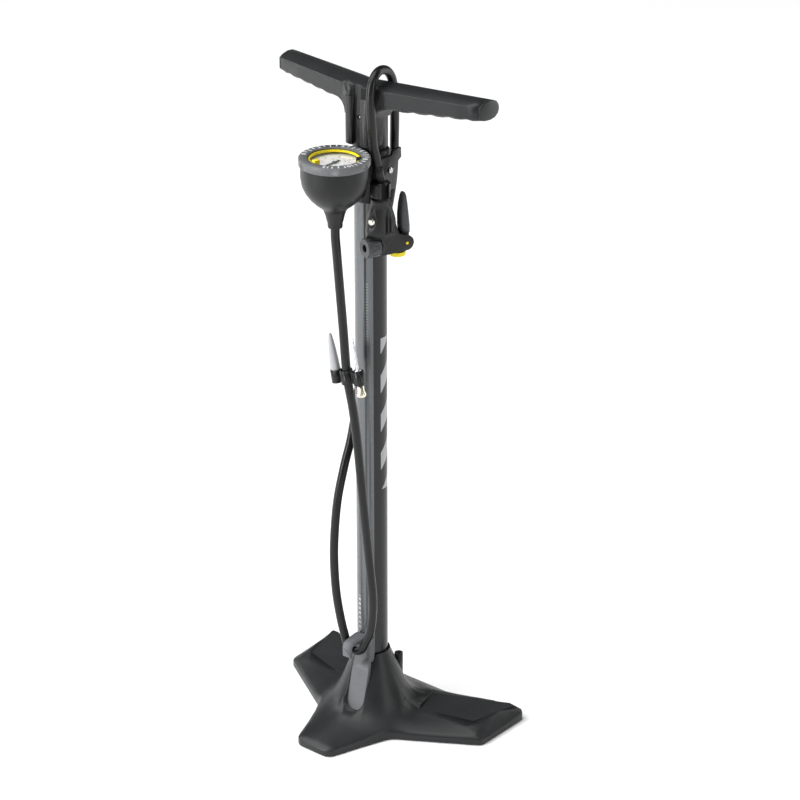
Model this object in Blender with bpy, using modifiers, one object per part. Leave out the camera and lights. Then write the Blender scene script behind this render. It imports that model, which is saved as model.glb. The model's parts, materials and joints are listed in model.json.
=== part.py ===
"""Floor bicycle pump: tripod base, twin-tube barrel, T handle, top gauge, hose and lever chuck.

Metres, +Z up. The origin is on the barrel's axis at floor level. +X is the right foot wing,
-Y is the front leg, and +Y is the side on which the person pumping stands.
"""

import math

import bmesh
import bpy
import numpy as np
from mathutils import Matrix, Vector

# Clearances
GAP = 0.0003          # between pieces that touch
SLIDE = 0.0004        # between pieces that slide or turn on each other

# Base
BASE_UNDER = 0.0012   # underside of the rim above the floor
RIM_TOP = 0.0085      # top of the upright rim
SKIN = 0.0034         # wall of the moulding
WING_X = 0.1372       # half the width over the foot wings
FRONT_Y = -0.1020     # tip of the front leg
BACK_Y = 0.0975       # rear corners of the wings
WING_TOP = 0.0185     # flat top of the wings
TOWER_TOP = 0.0815    # top of the tower round the barrel
LIP = 0.0022          # raised lip on the tower
FOOT_SET = 0.0004     # how far the feet's plugs start above the floor
HOLDER = (0.0124, 0.0292)   # axis of the tube that holds a spare needle
HOLDER_R = 0.0047
HOLDER_BORE_R = 0.0030
HOLDER_Z = (0.0480, 0.0670) # floor of its bore and its top
SOCKET_FLOOR = 0.0140 # where the barrel's foot stands
BOSS_R = 0.0300       # core of the tower, round the socket
TREAD = 0.0014        # depth of the tread inlays
BOLT_R = 0.0030       # bolt that holds the barrel in the base

# Barrel and what is in it
BARREL_R = 0.0165
BARREL_WALL = 0.0012
BARREL_TOP = 0.6400
AIR_ROOM = 0.0016     # between the barrel and the inner cylinder
LINER_R = BARREL_R - BARREL_WALL - AIR_ROOM   # outside of the inner cylinder
LINER_WALL = 0.0010
PLUG_H = 0.0160       # height of the foot plug
VALVE_SEAT_H = 0.0026
VALVE_SEAT_R = 0.0055
WAY_R = 0.0013        # air ways
ROD_R = 0.0050
ROD_TIP_R = 0.0030
PISTON_H = 0.0120
BUMPER_H = 0.0080

# Head on the barrel
HEAD_WALL = 0.0031
HEAD_R = BARREL_R + HEAD_WALL
HEAD_FOOT = BARREL_TOP - 0.0400
HEAD_TOP = BARREL_TOP + 0.0135
BUSH_R = 0.0085       # bore for the rod's bushing
WIPER_R = 0.0095      # bore for the rod's wiper
WIPER_H = 0.0075
ARM_W = 0.0200        # width of the arm to the gauge
ARM_Z = (BARREL_TOP - 0.0320, BARREL_TOP)

# Gauge
GAUGE_Y = -0.0545
GAUGE_TOP = BARREL_TOP + 0.0180
BEZEL_BAND = 0.0080
BEZEL_LIP = 0.0030    # depth of the ring's inner lip
BOWL_R = 0.0338
BEZEL_OVER = 0.0017   # the ring stands out past the bowl by this
BEZEL_R = BOWL_R + BEZEL_OVER
BOWL_WALL = 0.0022
WINDOW_R = 0.0255
WINDOW_T = 0.0010
DIAL_DROP = 0.0017    # from the window down to the dial
FUNNEL_TOP = GAUGE_TOP - 0.0550
FUNNEL_FOOT = FUNNEL_TOP - 0.0184
BOWL_FLOOR = GAUGE_TOP - 0.0460
STEM_BORE_R = 0.0016  # bore through the boot and the bowl's foot
NOSE_AT = 254.0       # where the pressure marker's nose points, in degrees

# Handle
NECK_R = 0.0177
HANDLE_Z = HEAD_TOP + 0.0665   # front upper edge at the middle
HANDLE_HALF = 0.1280
HANDLE_FRONT = -0.0220
SWEEP = 0.0330        # how far the ends are behind the middle
DROOP = 0.0030
HANDLE_CAP = 0.0030   # thickness of the end plugs
ROD_TOP = HANDLE_Z - 0.0200
PIN_R = 0.0020        # cross pin through the handle and the rod
PIN_DROP = 0.0120     # its axis below the rod's top
NOTCH_W = 0.0116      # the hose's notch in the handle's front

# Hose
HOSE_R = 0.0046
ROUTE_TOP = 0.6400    # the barrel's top that the points of the hose's route are laid out for
ROUTE_HOLD = 0.1300   # points below this height stay with the base
ROUTE_FREE = 0.5700   # points above this height move with the barrel's top
HOSE_POINTS = 76
STRAIGHT_POINTS = 40.0  # a metre of straight hose
BEND_POINTS = 2.2       # more for each radian that it turns

# Accessory clip
CLIP_AT = 0.4240      # height of its middle
CLIP_H = 0.0150
CLIP_LEFT = (-0.0130, 0.0056)   # the nozzle's ring: sideways from the hose, and its radius
CLIP_RIGHT = (0.0142, 0.0060)   # the needle's ring
NOZZLE_R = 0.0052
NOZZLE_H = 0.0392

# Chuck
CHUCK = (0.0264, -0.0163, BARREL_TOP - 0.0798)   # its neck's axis meets its cross tube's axis
CHUCK_TURN = math.radians(69.0)     # the cross tube's direction, from port to lever
PORT_X = -0.0184
PIVOT_X = 0.0258
BAR_R = 0.0085
COLLAR_R = 0.0104
COLLAR_L = 0.0148
NECK_FOOT = 0.0508
NECK_HEAD = 0.0666
CHUCK_NECK_R = 0.0076
DROP_X = 0.0192                     # axis of the lower outlet
DROP_R = 0.0070
CHEEK_R = 0.0078
CHEEK_T = 0.0168                    # across both cheeks
SLOT_W = 0.0092                     # the lever's slot between them
SLOT_FOOT = -0.0069
PIVOT_R = 0.0015
PLUNGER_R = 0.0026
BUTTON_Z = 0.0285                   # height of the bleed button over the cross tube
BUTTON_TURN = math.radians(201.0)   # and its direction, from the lever's side
BUTTON_R = 0.0032
CAM_R = 0.0056                      # the lever's cam, set off its pivot
CAM_OFF = 0.0006

PARTS = "floor_pump"
CUTTERS = "cutters"


# ---------------------------------------------------------------- scene and helpers

for old in list(bpy.data.objects):
    bpy.data.objects.remove(old, do_unlink=True)
parts = bpy.data.collections.new(PARTS)
cutters = bpy.data.collections.new(CUTTERS)
bpy.context.scene.collection.children.link(parts)
bpy.context.scene.collection.children.link(cutters)


def finish(name, colour, roughness, metallic=0.0, alpha=1.0):
    look = bpy.data.materials.new(name)
    look.use_nodes = True
    shader = look.node_tree.nodes["Principled BSDF"]
    shader.inputs["Base Color"].default_value = (*colour, 1.0)
    shader.inputs["Roughness"].default_value = roughness
    shader.inputs["Metallic"].default_value = metallic
    shader.inputs["Transmission Weight"].default_value = 1.0 - alpha
    return look


CHARCOAL = finish("charcoal_plastic", (0.060, 0.062, 0.064), 0.55)
BLACK = finish("black_plastic", (0.018, 0.018, 0.019), 0.45)
PAINT = finish("barrel_paint", (0.20, 0.21, 0.22), 0.25, 0.3)
GREY = finish("grey_plastic", (0.22, 0.23, 0.24), 0.45)
RUBBER = finish("black_rubber", (0.020, 0.020, 0.021), 0.60)
TREADS = finish("tread_rubber", (0.040, 0.042, 0.043), 0.80)
STEEL = finish("chromed_steel", (0.62, 0.62, 0.64), 0.18, 1.0)
ALLOY = finish("aluminium", (0.60, 0.61, 0.62), 0.35, 1.0)
BRASS = finish("brass", (0.75, 0.58, 0.28), 0.30, 1.0)
YELLOW = finish("yellow_plastic", (0.85, 0.74, 0.02), 0.40)
DIAL = finish("dial_white", (0.85, 0.86, 0.85), 0.50)
GLASS = finish("clear_lens", (0.90, 0.92, 0.92), 0.05, 0.0, 0.1)


def add(name, mesh, look, parent=None):
    """A part from a mesh whose points are in the frame of its parent, or of the world."""
    part = bpy.data.objects.new(name, mesh)
    part.data.materials.append(look)
    parts.objects.link(part)
    if parent:
        part.parent = parent
    return part


def hide(guide):
    """Turns an object into a cutter or guide."""
    for held in guide.users_collection:
        held.objects.unlink(guide)
    cutters.objects.link(guide)
    guide.hide_render = True
    guide.display_type = "WIRE"
    return guide


def empty(name, at, turn=0.0):
    frame = bpy.data.objects.new(name, None)
    parts.objects.link(frame)
    frame.location = at
    frame.rotation_euler = (0.0, 0.0, turn)
    return frame


def shade(part, angle=35.0):
    part.data.shade_smooth()
    part.data.set_sharp_from_angle(angle=math.radians(angle))
    return part


def turned(name, outline, look, at=(0.0, 0.0, 0.0), ring=False, steps=48, parent=None):
    """Turns an outline of (radius, height) points about the upright line through at.

    It runs down the outer side. An open outline starts and ends on the axis, a ring is closed.
    """
    mesh = bpy.data.meshes.new(name)
    count = len(outline)
    edges = [(i, (i + 1) % count) for i in range(count if ring else count - 1)]
    mesh.from_pydata([(r, 0.0, z) for r, z in outline], edges, [])
    part = add(name, mesh, look, parent)
    part.location = at
    screw = part.modifiers.new("turn", "SCREW")
    screw.steps = screw.render_steps = steps
    screw.use_merge_vertices = True
    screw.merge_threshold = 0.00001
    screw.use_smooth_shade = True
    return part


def solid(part):
    """Bakes a part's modifiers into its mesh, so that it can be placed and cut freely."""
    bpy.context.view_layer.update()
    seen = part.evaluated_get(bpy.context.evaluated_depsgraph_get())
    mesh = bpy.data.meshes.new_from_object(seen)
    part.modifiers.clear()
    part.data = mesh
    return part


def aim(part, foot, direction):
    """Stands a part that was made along +Z on foot, pointing along direction."""
    turn = Vector((0.0, 0.0, 1.0)).rotation_difference(Vector(direction))
    part.matrix_basis = Matrix.Translation(Vector(foot)) @ turn.to_matrix().to_4x4()
    return part


def bar(name, radius, foot, tip, look, sides=32, parent=None):
    """A round bar from foot to tip."""
    foot, tip = Vector(foot), Vector(tip)
    mesh = bpy.data.meshes.new(name)
    shape = bmesh.new()
    long = (tip - foot).length
    bmesh.ops.create_cone(
        shape, cap_ends=True, segments=sides, radius1=radius, radius2=radius, depth=long
    )
    bmesh.ops.translate(shape, verts=shape.verts, vec=(0.0, 0.0, long / 2))
    shape.to_mesh(mesh)
    shape.free()
    return aim(add(name, mesh, look, parent), foot, tip - foot)


def block(name, low, high, look, bevel=0.0, parent=None):
    """A box between two corners, with its edges rounded by bevel."""
    mesh = bpy.data.meshes.new(name)
    shape = bmesh.new()
    bmesh.ops.create_cube(shape, size=1.0)
    low, high = Vector(low), Vector(high)
    bmesh.ops.scale(shape, verts=shape.verts, vec=high - low)
    bmesh.ops.translate(shape, verts=shape.verts, vec=(low + high) / 2)
    shape.to_mesh(mesh)
    shape.free()
    part = add(name, mesh, look, parent)
    if bevel:
        round_edges(part, bevel)
    return part


def round_edges(part, width, segments=2, angle=40.0):
    edge = part.modifiers.new("edge", "BEVEL")
    edge.width = width
    edge.segments = segments
    edge.limit_method = "ANGLE"
    edge.angle_limit = math.radians(angle)
    return part


def sheet(name, outline, thick, look, bevel=0.0, parent=None):
    """A flat piece: a closed outline of (x, y) points, thick about its own XY plane."""
    curve = bpy.data.curves.new(name, "CURVE")
    curve.dimensions = "2D"
    curve.fill_mode = "BOTH"
    curve.extrude = thick / 2
    line = curve.splines.new("POLY")
    line.points.add(len(outline) - 1)
    for point, (x, y) in zip(line.points, outline):
        point.co = (x, y, 0.0, 1.0)
    line.use_cyclic_u = True
    flat = bpy.data.objects.new(name, curve)
    parts.objects.link(flat)
    part = meshed(flat, look)
    part.parent = parent
    if bevel:
        round_edges(part, bevel)
    return part


def meshed(curved, look):
    """Makes a curve object a mesh with its caps welded, and removes the curve."""
    bpy.context.view_layer.update()
    name = curved.name
    seen = curved.evaluated_get(bpy.context.evaluated_depsgraph_get())
    mesh = bpy.data.meshes.new_from_object(seen)
    shape = bmesh.new()
    shape.from_mesh(mesh)
    bmesh.ops.remove_doubles(shape, verts=shape.verts, dist=0.00001)
    bmesh.ops.recalc_face_normals(shape, faces=shape.faces)
    shape.to_mesh(mesh)
    shape.free()
    mesh.materials.clear()
    place = curved.matrix_world.copy()
    bpy.data.objects.remove(curved, do_unlink=True)
    part = add(name, mesh, look)
    part.matrix_world = place
    return part


def wire(name, points, radius, look, sides=2, closed=False, parent=None):
    """A round tube through points, which stays a curve."""
    curve = bpy.data.curves.new(name, "CURVE")
    curve.dimensions = "3D"
    curve.bevel_depth = radius
    curve.bevel_resolution = sides
    curve.use_fill_caps = not closed
    line = curve.splines.new("POLY")
    line.points.add(len(points) - 1)
    for point, co in zip(line.points, points):
        point.co = (*co, 1.0)
    line.use_cyclic_u = closed
    part = bpy.data.objects.new(name, curve)
    curve.materials.append(look)
    parts.objects.link(part)
    part.parent = parent
    return part


def loft(name, rings, look, closed=False, parent=None):
    """Skins rings of points, all of one count. A closed loft runs from the last ring to the first."""
    count = len(rings[0])
    points = [tuple(p) for ring in rings for p in ring]
    faces = []
    for j in range(len(rings) if closed else len(rings) - 1):
        low = j * count
        high = ((j + 1) % len(rings)) * count
        for i in range(count):
            k = (i + 1) % count
            faces.append((low + i, low + k, high + k, high + i))
    if not closed:
        faces.append(tuple(reversed(range(count))))
        faces.append(tuple(range(len(points) - count, len(points))))
    mesh = bpy.data.meshes.new(name)
    mesh.from_pydata(points, [], faces)
    shape = bmesh.new()
    shape.from_mesh(mesh)
    bmesh.ops.recalc_face_normals(shape, faces=shape.faces)
    shape.to_mesh(mesh)
    shape.free()
    return add(name, mesh, look, parent)


def boolean(part, other, operation):
    hide(other)
    tool = part.modifiers.new(other.name, "BOOLEAN")
    tool.operation = operation
    tool.solver = "EXACT"
    tool.object = other
    return part


def cut(part, *others):
    for other in others:
        boolean(part, other, "DIFFERENCE")
    return part


def join(part, *others):
    for other in others:
        boolean(part, other, "UNION")
    return part


def arc(centre, radius, start, end, steps):
    """Points on an arc, in degrees, both ends included."""
    turns = np.radians(np.linspace(start, end, steps + 1))
    return [(centre[0] + radius * math.cos(t), centre[1] + radius * math.sin(t)) for t in turns]


def rounded(corners, steps=5):
    """An outline whose corners (x, y, radius) are rounded by arcs."""
    outline = []
    count = len(corners)
    for i, (x, y, radius) in enumerate(corners):
        here = Vector((x, y))
        back = (Vector(corners[i - 1][:2]) - here).normalized()
        ahead = (Vector(corners[(i + 1) % count][:2]) - here).normalized()
        half = back.angle(ahead) / 2
        if radius <= 0.0 or half > math.radians(89.0):
            outline.append((x, y))
            continue
        centre = here + (back + ahead).normalized() * (radius / math.sin(half))
        first = here + back * (radius / math.tan(half)) - centre
        last = here + ahead * (radius / math.tan(half)) - centre
        sweep = first.angle_signed(last)
        for k in range(steps + 1):
            turn = Matrix.Rotation(-sweep * k / steps, 2)
            spoke = turn @ first
            outline.append((centre.x + spoke.x, centre.y + spoke.y))
    return outline


def fill(outline, longest):
    """The same closed outline with its long sides split into steps no longer than longest."""
    filled = []
    for i, (x, y) in enumerate(outline):
        nx, ny = outline[(i + 1) % len(outline)]
        count = max(1, math.ceil(math.hypot(nx - x, ny - y) / longest))
        filled += [(x + (nx - x) * k / count, y + (ny - y) * k / count) for k in range(count)]
    return filled


def smooth_route(points, count):
    """Points along the smooth curve through hand-chosen points, closer together in the bends."""
    line = np.array(points)
    ghost = np.vstack([2 * line[0] - line[1], line, 2 * line[-1] - line[-2]])
    fine = []
    for i in range(1, len(ghost) - 2):
        a, b, c, d = ghost[i - 1 : i + 3]
        for t in np.linspace(0.0, 1.0, 24, endpoint=False):
            fine.append(
                0.5 * (2 * b + (c - a) * t + (2 * a - 5 * b + 4 * c - d) * t**2
                       + (3 * b - a - 3 * c + d) * t**3)
            )
    fine = np.array(fine + [line[-1]])
    run = np.diff(fine, axis=0)
    long = np.linalg.norm(run, axis=1)
    way = run / long[:, None]
    bend = np.concatenate([[0.0], np.linalg.norm(np.diff(way, axis=0), axis=1)])
    along = np.concatenate([[0.0], np.cumsum(long * STRAIGHT_POINTS + bend * BEND_POINTS)])
    at = np.linspace(0.0, along[-1], count)
    return np.stack([np.interp(at, along, fine[:, k]) for k in range(3)], axis=1)


def spring(name, radius, wire_r, low, high, turns, look, at=(0.0, 0.0), parent=None):
    """A coil spring with its ends flat, from low to high."""
    rise = high - low - 2 * wire_r
    count = turns * 10
    points = []
    for i in range(count + 1):
        share = i / count
        turn = 2 * math.pi * turns * share
        height = low + wire_r + rise * share
        points.append((at[0] + radius * math.cos(turn), at[1] + radius * math.sin(turn), height))
    return wire(name, points, wire_r, look, sides=1, parent=parent)


# ---------------------------------------------------------------- base

def tripod_corners():
    """The base's outline from above, as corners with their radii, anticlockwise."""
    right = [
        (0.0222, FRONT_Y, 0.0110),
        (0.0330, -0.0720, 0.0300),
        (0.0490, -0.0320, 0.0220),
        (WING_X - 0.0030, 0.0200, 0.0075),
        (WING_X, BACK_Y, 0.0080),
        (0.0455, 0.0735, 0.0200),
    ]
    left = [(-x, y, r) for x, y, r in reversed(right)]
    return right + left


OUTLINE = fill(rounded(tripod_corners(), 4), 0.0170)
# The flat top of the right wing, inside its sloping sides
FLAT = [
    (0.0420, 0.0080), (0.1195, 0.0300), (WING_X - 0.0036, BACK_Y - 0.0075), (0.0330, 0.0520),
]
# The ridge of the front leg: (y, height)
RIDGE = [(-0.0300, 0.0300), (FRONT_Y + 0.0120, 0.0125)]
# The tower's side: (radius, height)
TOWER = [
    (0.0200, TOWER_TOP), (0.0238, 0.0705), (0.0284, 0.0590), (0.0328, 0.0470), (0.0375, 0.0368),
    (0.0430, 0.0275), (0.0500, 0.0195), (0.0600, 0.0120), (0.0800, 0.0), (0.3, -0.05),
]


def reach(point, outline):
    """Distance from a point to a closed outline."""
    start = np.asarray(outline, float)
    run = np.roll(start, -1, axis=0) - start
    off = point - start
    share = np.clip((off * run).sum(1) / (run * run).sum(1), 0.0, 1.0)
    return float(np.linalg.norm(off - share[:, None] * run, axis=1).min())


def within(point, outline):
    """Whether a point is inside a convex outline that runs anticlockwise."""
    start = np.asarray(outline, float)
    run = np.roll(start, -1, axis=0) - start
    off = point - start
    return bool((run[:, 0] * off[:, 1] - run[:, 1] * off[:, 0] >= 0.0).all())


def melt(low, high, width):
    """The larger of two heights, rounded where they are within width of each other."""
    if width < 1e-6:
        return max(low, high)
    return max(low, high) + max(width - abs(low - high), 0.0) ** 2 / (4 * width)


def top_height(x, y, edge):
    """Height of the base's upper skin, edge being the distance to the rim."""
    point = np.array((abs(x), y))
    away = 0.0 if within(point, FLAT) else reach(point, FLAT)
    wing = RIM_TOP + (WING_TOP - RIM_TOP) * edge / (edge + away + 1e-9)
    share = min(max((y - RIDGE[1][0]) / (RIDGE[0][0] - RIDGE[1][0]), 0.0), 1.0)
    ridge = RIDGE[1][1] + (RIDGE[0][1] - RIDGE[1][1]) * share
    away = math.hypot(x, y - min(max(y, RIDGE[1][0]), RIDGE[0][0]))
    leg = RIM_TOP + (ridge - RIM_TOP) * (edge / (edge + away + 1e-9)) ** 0.7
    radii, heights = zip(*TOWER)
    tower = float(np.interp(math.hypot(x, y), radii, heights))
    soft = min(1.0, edge / 0.012)
    return melt(melt(wing, leg, 0.006 * soft), tower, 0.008 * soft)


def circle(radius, height):
    """A ring with one point in the direction of each point of the outline."""
    return [(radius * x / math.hypot(x, y), radius * y / math.hypot(x, y), height)
            for x, y in OUTLINE]


def skin_height(x, y):
    return top_height(x, y, reach(np.array((x, y)), OUTLINE))


def skin_ring(share, inset, start):
    """A ring of the upper skin, share of the way from the tower to the rim."""
    ring = []
    for x, y in OUTLINE:
        far = math.hypot(x, y)
        radius = start + (far - inset - start) * share
        px, py = x * radius / far, y * radius / far
        ring.append((px, py, skin_height(px, py)))
    return ring


def wall_inset(x, y):
    """How far in from an outline point the rim's wall reaches, towards the middle."""
    far = math.hypot(x, y)
    inset = SKIN
    while reach(np.array((x, y)) * (1.0 - inset / far), OUTLINE) < SKIN * 1.2:
        inset += 0.0005
    return inset


def roof_ring(share):
    """A ring of the hollow's roof, SKIN below the upper skin all over."""
    ring = []
    for x, y in OUTLINE:
        far = math.hypot(x, y)
        start = BOSS_R + 0.0170 * max(0.0, -y / far) ** 6
        radius = start + (far - wall_inset(x, y) - start) * share
        px, py = x * radius / far, y * radius / far
        heights = [skin_height(px, py) - SKIN]
        for turn in np.radians(range(0, 360, 45)):
            for off in (0.6 * SKIN, 0.95 * SKIN):
                nx, ny = px + off * math.cos(turn), py + off * math.sin(turn)
                heights.append(skin_height(nx, ny) - math.sqrt(SKIN**2 - off**2))
        ring.append((px, py, min(heights)))
    return ring


def make_base():
    tower_r = TOWER[0][0]
    steps = [0.05, 0.12, 0.20, 0.30, 0.42, 0.55, 0.68, 0.81, 0.91, 1.0]
    rings = [
        circle(BARREL_R + GAP, SOCKET_FLOOR),
        circle(BARREL_R + GAP, TOWER_TOP + LIP),
        circle(tower_r - 0.0012, TOWER_TOP + LIP),
        circle(tower_r - 0.0006, TOWER_TOP),
    ]
    rings += [skin_ring(share, 0.0012, tower_r) for share in steps]
    rings.append([(x, y, RIM_TOP - 0.0012) for x, y in OUTLINE])
    rings.append([(x, y, BASE_UNDER) for x, y in OUTLINE])
    roof = [roof_ring(share) for share in (1.0, 0.86, 0.66, 0.46, 0.28, 0.10, 0.0)]
    rings.append([(x, y, BASE_UNDER) for x, y, _ in roof[0]])
    rings += roof
    rings.append([(x, y, BASE_UNDER) for x, y, _ in roof[-1]])
    base = loft("base", rings, CHARCOAL)
    return cut(base, bar("bolt_hole", BOLT_R, (0, 0, 0), (0, 0, 0.03), CHARCOAL, 20))


# ---------------------------------------------------------------- hook, feet and treads

HOOK_X = 0.0040       # the hook is a little to the right of the middle
HOOK_HEAD = (HOOK_X, -0.0215, 0.0850)   # top of the tongue's front
HOOK_TIP = (HOOK_X, -0.0370, 0.0225)    # foot of the tongue's front
TONGUE_T = 0.0040
HOOK_W = 0.0160


def tongue_outline(spare):
    """The tongue from the front, its length running along -y from its head."""
    long = (Vector(HOOK_TIP) - Vector(HOOK_HEAD)).length
    foot = 0.0112 + spare
    side = [(-0.0095 - spare, 0.0), (-0.0108 - spare, -0.0200)]
    round_foot = arc((0.0, -long + 0.0112), foot, 180.0, 360.0, 14)
    return side + round_foot + [(-x, y) for x, y in reversed(side)]


def tongue(name, spare, front, back):
    """The tongue's slab, from front before its face to back behind it."""
    slab = sheet(name, tongue_outline(spare), back + front, GREY)
    down = (Vector(HOOK_TIP) - Vector(HOOK_HEAD)).normalized()
    face = Vector((1.0, 0.0, 0.0)).cross(-down)
    across = Matrix((Vector((1.0, 0.0, 0.0)), -down, face)).transposed().to_4x4()
    middle = Vector(HOOK_HEAD) + face * ((front - back) / 2)
    slab.matrix_basis = Matrix.Translation(middle) @ across
    return slab


def make_hook(base):
    claw = (
        [(-0.0150, 0.0800)]
        + arc((-0.0195, 0.1034), 0.0045, 0.0, 90.0, 4)
        + arc((-0.0403, 0.1018), 0.0062, 90.0, 180.0, 5)
        + [(-0.0463, 0.0925), (-0.0455, 0.0912), (-0.0440, 0.0912), (-0.0432, 0.0925)]
        + arc((-0.0398, 0.1012), 0.0034, 180.0, 90.0, 4)
        + arc((-0.0250, 0.1011), 0.0035, 90.0, 0.0, 4)
        + [(-0.0215, 0.0800)]
    )
    hook = sheet("hose_hook", claw, HOOK_W, GREY, bevel=0.0008)
    upright = Matrix(((0, 0, 1), (1, 0, 0), (0, 1, 0))).to_4x4()
    hook.matrix_basis = Matrix.Translation((HOOK_X - 0.0020, 0.0, 0.0)) @ upright
    solid(hook)
    low = (HOOK_X - 0.0100, -0.0213, TOWER_TOP - 0.0045)
    web = block("hook_web", low, (HOOK_X + 0.0098, -0.0140, 0.1035), GREY)
    join(hook, tongue("hook_tongue", 0.0, 0.0, TONGUE_T), web)
    barrel = bar("hook_seat", BARREL_R + GAP, (0, 0, 0.05), (0, 0, 0.12), GREY, 48)
    cut(hook, barrel)
    for side in (-1, 1):
        flare = [
            (side * 0.0082, -0.0215), (side * 0.0048, -0.0480),
            (side * 0.0200, -0.0480), (side * 0.0200, -0.0215),
        ]
        waste = sheet("claw_side", flare[::side], 0.0400, GREY)
        waste.location = (HOOK_X - 0.0020, 0.0, 0.1090)
        cut(hook, waste)
    cut(base, tongue("hook_pocket", 0.0005, 0.0300, TONGUE_T + 0.0006))
    low = (HOOK_X - 0.0104, -0.0300, TOWER_TOP - 0.0049)
    cut(base, block("hook_slot", low, (HOOK_X + 0.0102, -0.0100, TOWER_TOP + 0.0185), GREY))


def make_feet(base):
    """Rubber soles, each with a plug that fills the hollow of the base above it."""
    top = BASE_UNDER - GAP
    wing = rounded([
        (0.1020, 0.0370, 0.005), (0.1325, 0.0370, 0.005),
        (0.1335, 0.0820, 0.005), (0.1020, 0.0740, 0.005),
    ])
    for side, name in ((1, "foot_right"), (-1, "foot_left")):
        outline = [(side * x, y) for x, y in wing][:: side]
        foot = sheet(name, outline, top, RUBBER)
        foot.location.z = top / 2
        low, high = sorted((side * 0.1040, side * 0.1170))
        ceiling = WING_TOP - SKIN - TREAD - GAP
        join(foot, block(name + "_plug", (low, 0.0430, FOOT_SET), (high, 0.0690, ceiling), RUBBER))
    outline = rounded([
        (-0.0175, FRONT_Y + 0.0040, 0.004), (0.0175, FRONT_Y + 0.0040, 0.004),
        (0.0230, FRONT_Y + 0.0270, 0.005), (-0.0230, FRONT_Y + 0.0270, 0.005),
    ])
    front = sheet("foot_front", outline, top, RUBBER)
    front.location.z = top / 2
    low, high = (-0.0080, FRONT_Y + 0.0130, FOOT_SET), (0.0080, FRONT_Y + 0.0250, 0.0080)
    join(front, block("foot_front_plug", low, high, RUBBER))


def inset(outline, by):
    """A convex outline moved inwards on every side."""
    middle = Vector((sum(x for x, _ in outline), sum(y for _, y in outline))) / len(outline)
    moved = []
    for x, y in outline:
        spoke = Vector((x, y)) - middle
        moved.append(tuple(middle + spoke * (1.0 - by / spoke.length)))
    return moved


def make_treads(base):
    pad = [(x, y, 0.0025) for x, y in inset(FLAT, 0.0046)]
    pad[0] = (0.0535, 0.0135, 0.0025)
    pad[3] = (0.0430, 0.0500, 0.0025)
    for side, name in ((1, "tread_right"), (-1, "tread_left")):
        outline = [(side * x, y) for x, y in rounded(pad, 4)][:: side]
        tread = sheet(name, inset(outline, 0.0004), TREAD, TREADS)
        tread.location.z = WING_TOP + 0.0001 - TREAD / 2
        pocket = sheet(name + "_pocket", outline, 0.0200, TREADS)
        pocket.location.z = WING_TOP - TREAD - GAP + 0.0100
        cut(base, pocket)


def make_holder(base):
    """The open tube moulded behind the tower, for a spare needle."""
    floor, top = HOLDER_Z
    join(base, bar("holder_wall", HOLDER_R, (*HOLDER, 0.0300), (*HOLDER, top), CHARCOAL, 24))
    cut(base, bar("holder_bore", HOLDER_BORE_R, (*HOLDER, floor), (*HOLDER, top + 0.01), CHARCOAL, 24))


# ---------------------------------------------------------------- barrel

BARREL_IN = BARREL_R - BARREL_WALL
LINER_IN = LINER_R - LINER_WALL
BARREL_FOOT = SOCKET_FLOOR + GAP
PLUG_TOP = BARREL_FOOT + PLUG_H
LINER_FOOT = PLUG_TOP - 0.0050
PISTON_FOOT = PLUG_TOP + 0.0120
PISTON_TOP = PISTON_FOOT + PISTON_H
SPIGOT_FOOT = BARREL_TOP - 0.0614
LINER_TOP = BARREL_TOP - 0.0060
AIR_Z = LINER_TOP + 0.0030


def tube(name, outer, inner, low, high, look, steps=48, at=(0.0, 0.0, 0.0)):
    outline = [(outer, high), (outer, low), (inner, low), (inner, high)]
    return turned(name, outline, look, at, ring=True, steps=steps)


def make_barrel():
    shell = tube("outer_barrel", BARREL_R, BARREL_IN, BARREL_FOOT, BARREL_TOP, PAINT)
    tube("inner_cylinder", LINER_R, LINER_IN, LINER_FOOT + GAP, LINER_TOP, ALLOY, 32)
    spigot = LINER_IN - SLIDE
    bolt = BOLT_R - 0.0006
    pocket = 0.0040
    neck = 0.0012
    floor = BARREL_FOOT + 0.0040
    top = PLUG_TOP - VALVE_SEAT_H
    outline = [
        (spigot, PLUG_TOP), (spigot, LINER_FOOT), (BARREL_IN - SLIDE, LINER_FOOT),
        (BARREL_IN - SLIDE, BARREL_FOOT), (bolt, BARREL_FOOT), (bolt, floor - 0.0010),
        (neck, floor - 0.0010), (neck, floor), (pocket, floor), (pocket, top),
        (VALVE_SEAT_R, top), (VALVE_SEAT_R, PLUG_TOP),
    ]
    plug = turned("foot_plug", outline, ALLOY, ring=True, steps=20)
    way = bar("foot_way", 0.0010, (0.0, 0.0, floor + 0.0030), (0.0200, 0.0, floor + 0.0030), ALLOY, 12)
    low, high = floor + 0.0018, LINER_FOOT + 0.0010
    groove = tube("way_groove", BARREL_IN + 0.0010, BARREL_IN - 0.0018, low, high, ALLOY)
    cut(plug, way, groove)
    wide = VALVE_SEAT_R - GAP
    tube("valve_seat", wide, 0.0020, top + GAP, PLUG_TOP, BRASS, 24)
    disc = [
        (0.0, top), (0.0034, top), (0.0034, top - 0.0018), (0.0012, top - 0.0018),
        (0.0012, top - 0.0036), (0.0, top - 0.0036),
    ]
    turned("check_valve", disc, RUBBER, steps=24)
    spring("check_spring", 0.0022, 0.0003, floor + GAP, top - 0.0018 - GAP, 3, STEEL)
    return shell


def bowl_side(spare):
    """The gauge bowl's outer side from its rim down, moved out by spare."""
    side = [
        (0.0, 0.0205), (0.0013, 0.0290), (0.0046, 0.0365), (0.0092, 0.0430), (0.0148, 0.0485),
        (0.0203, 0.0525),
    ]
    return [(BOWL_R - off + spare, GAUGE_TOP - deep - spare) for off, deep in side]


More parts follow.
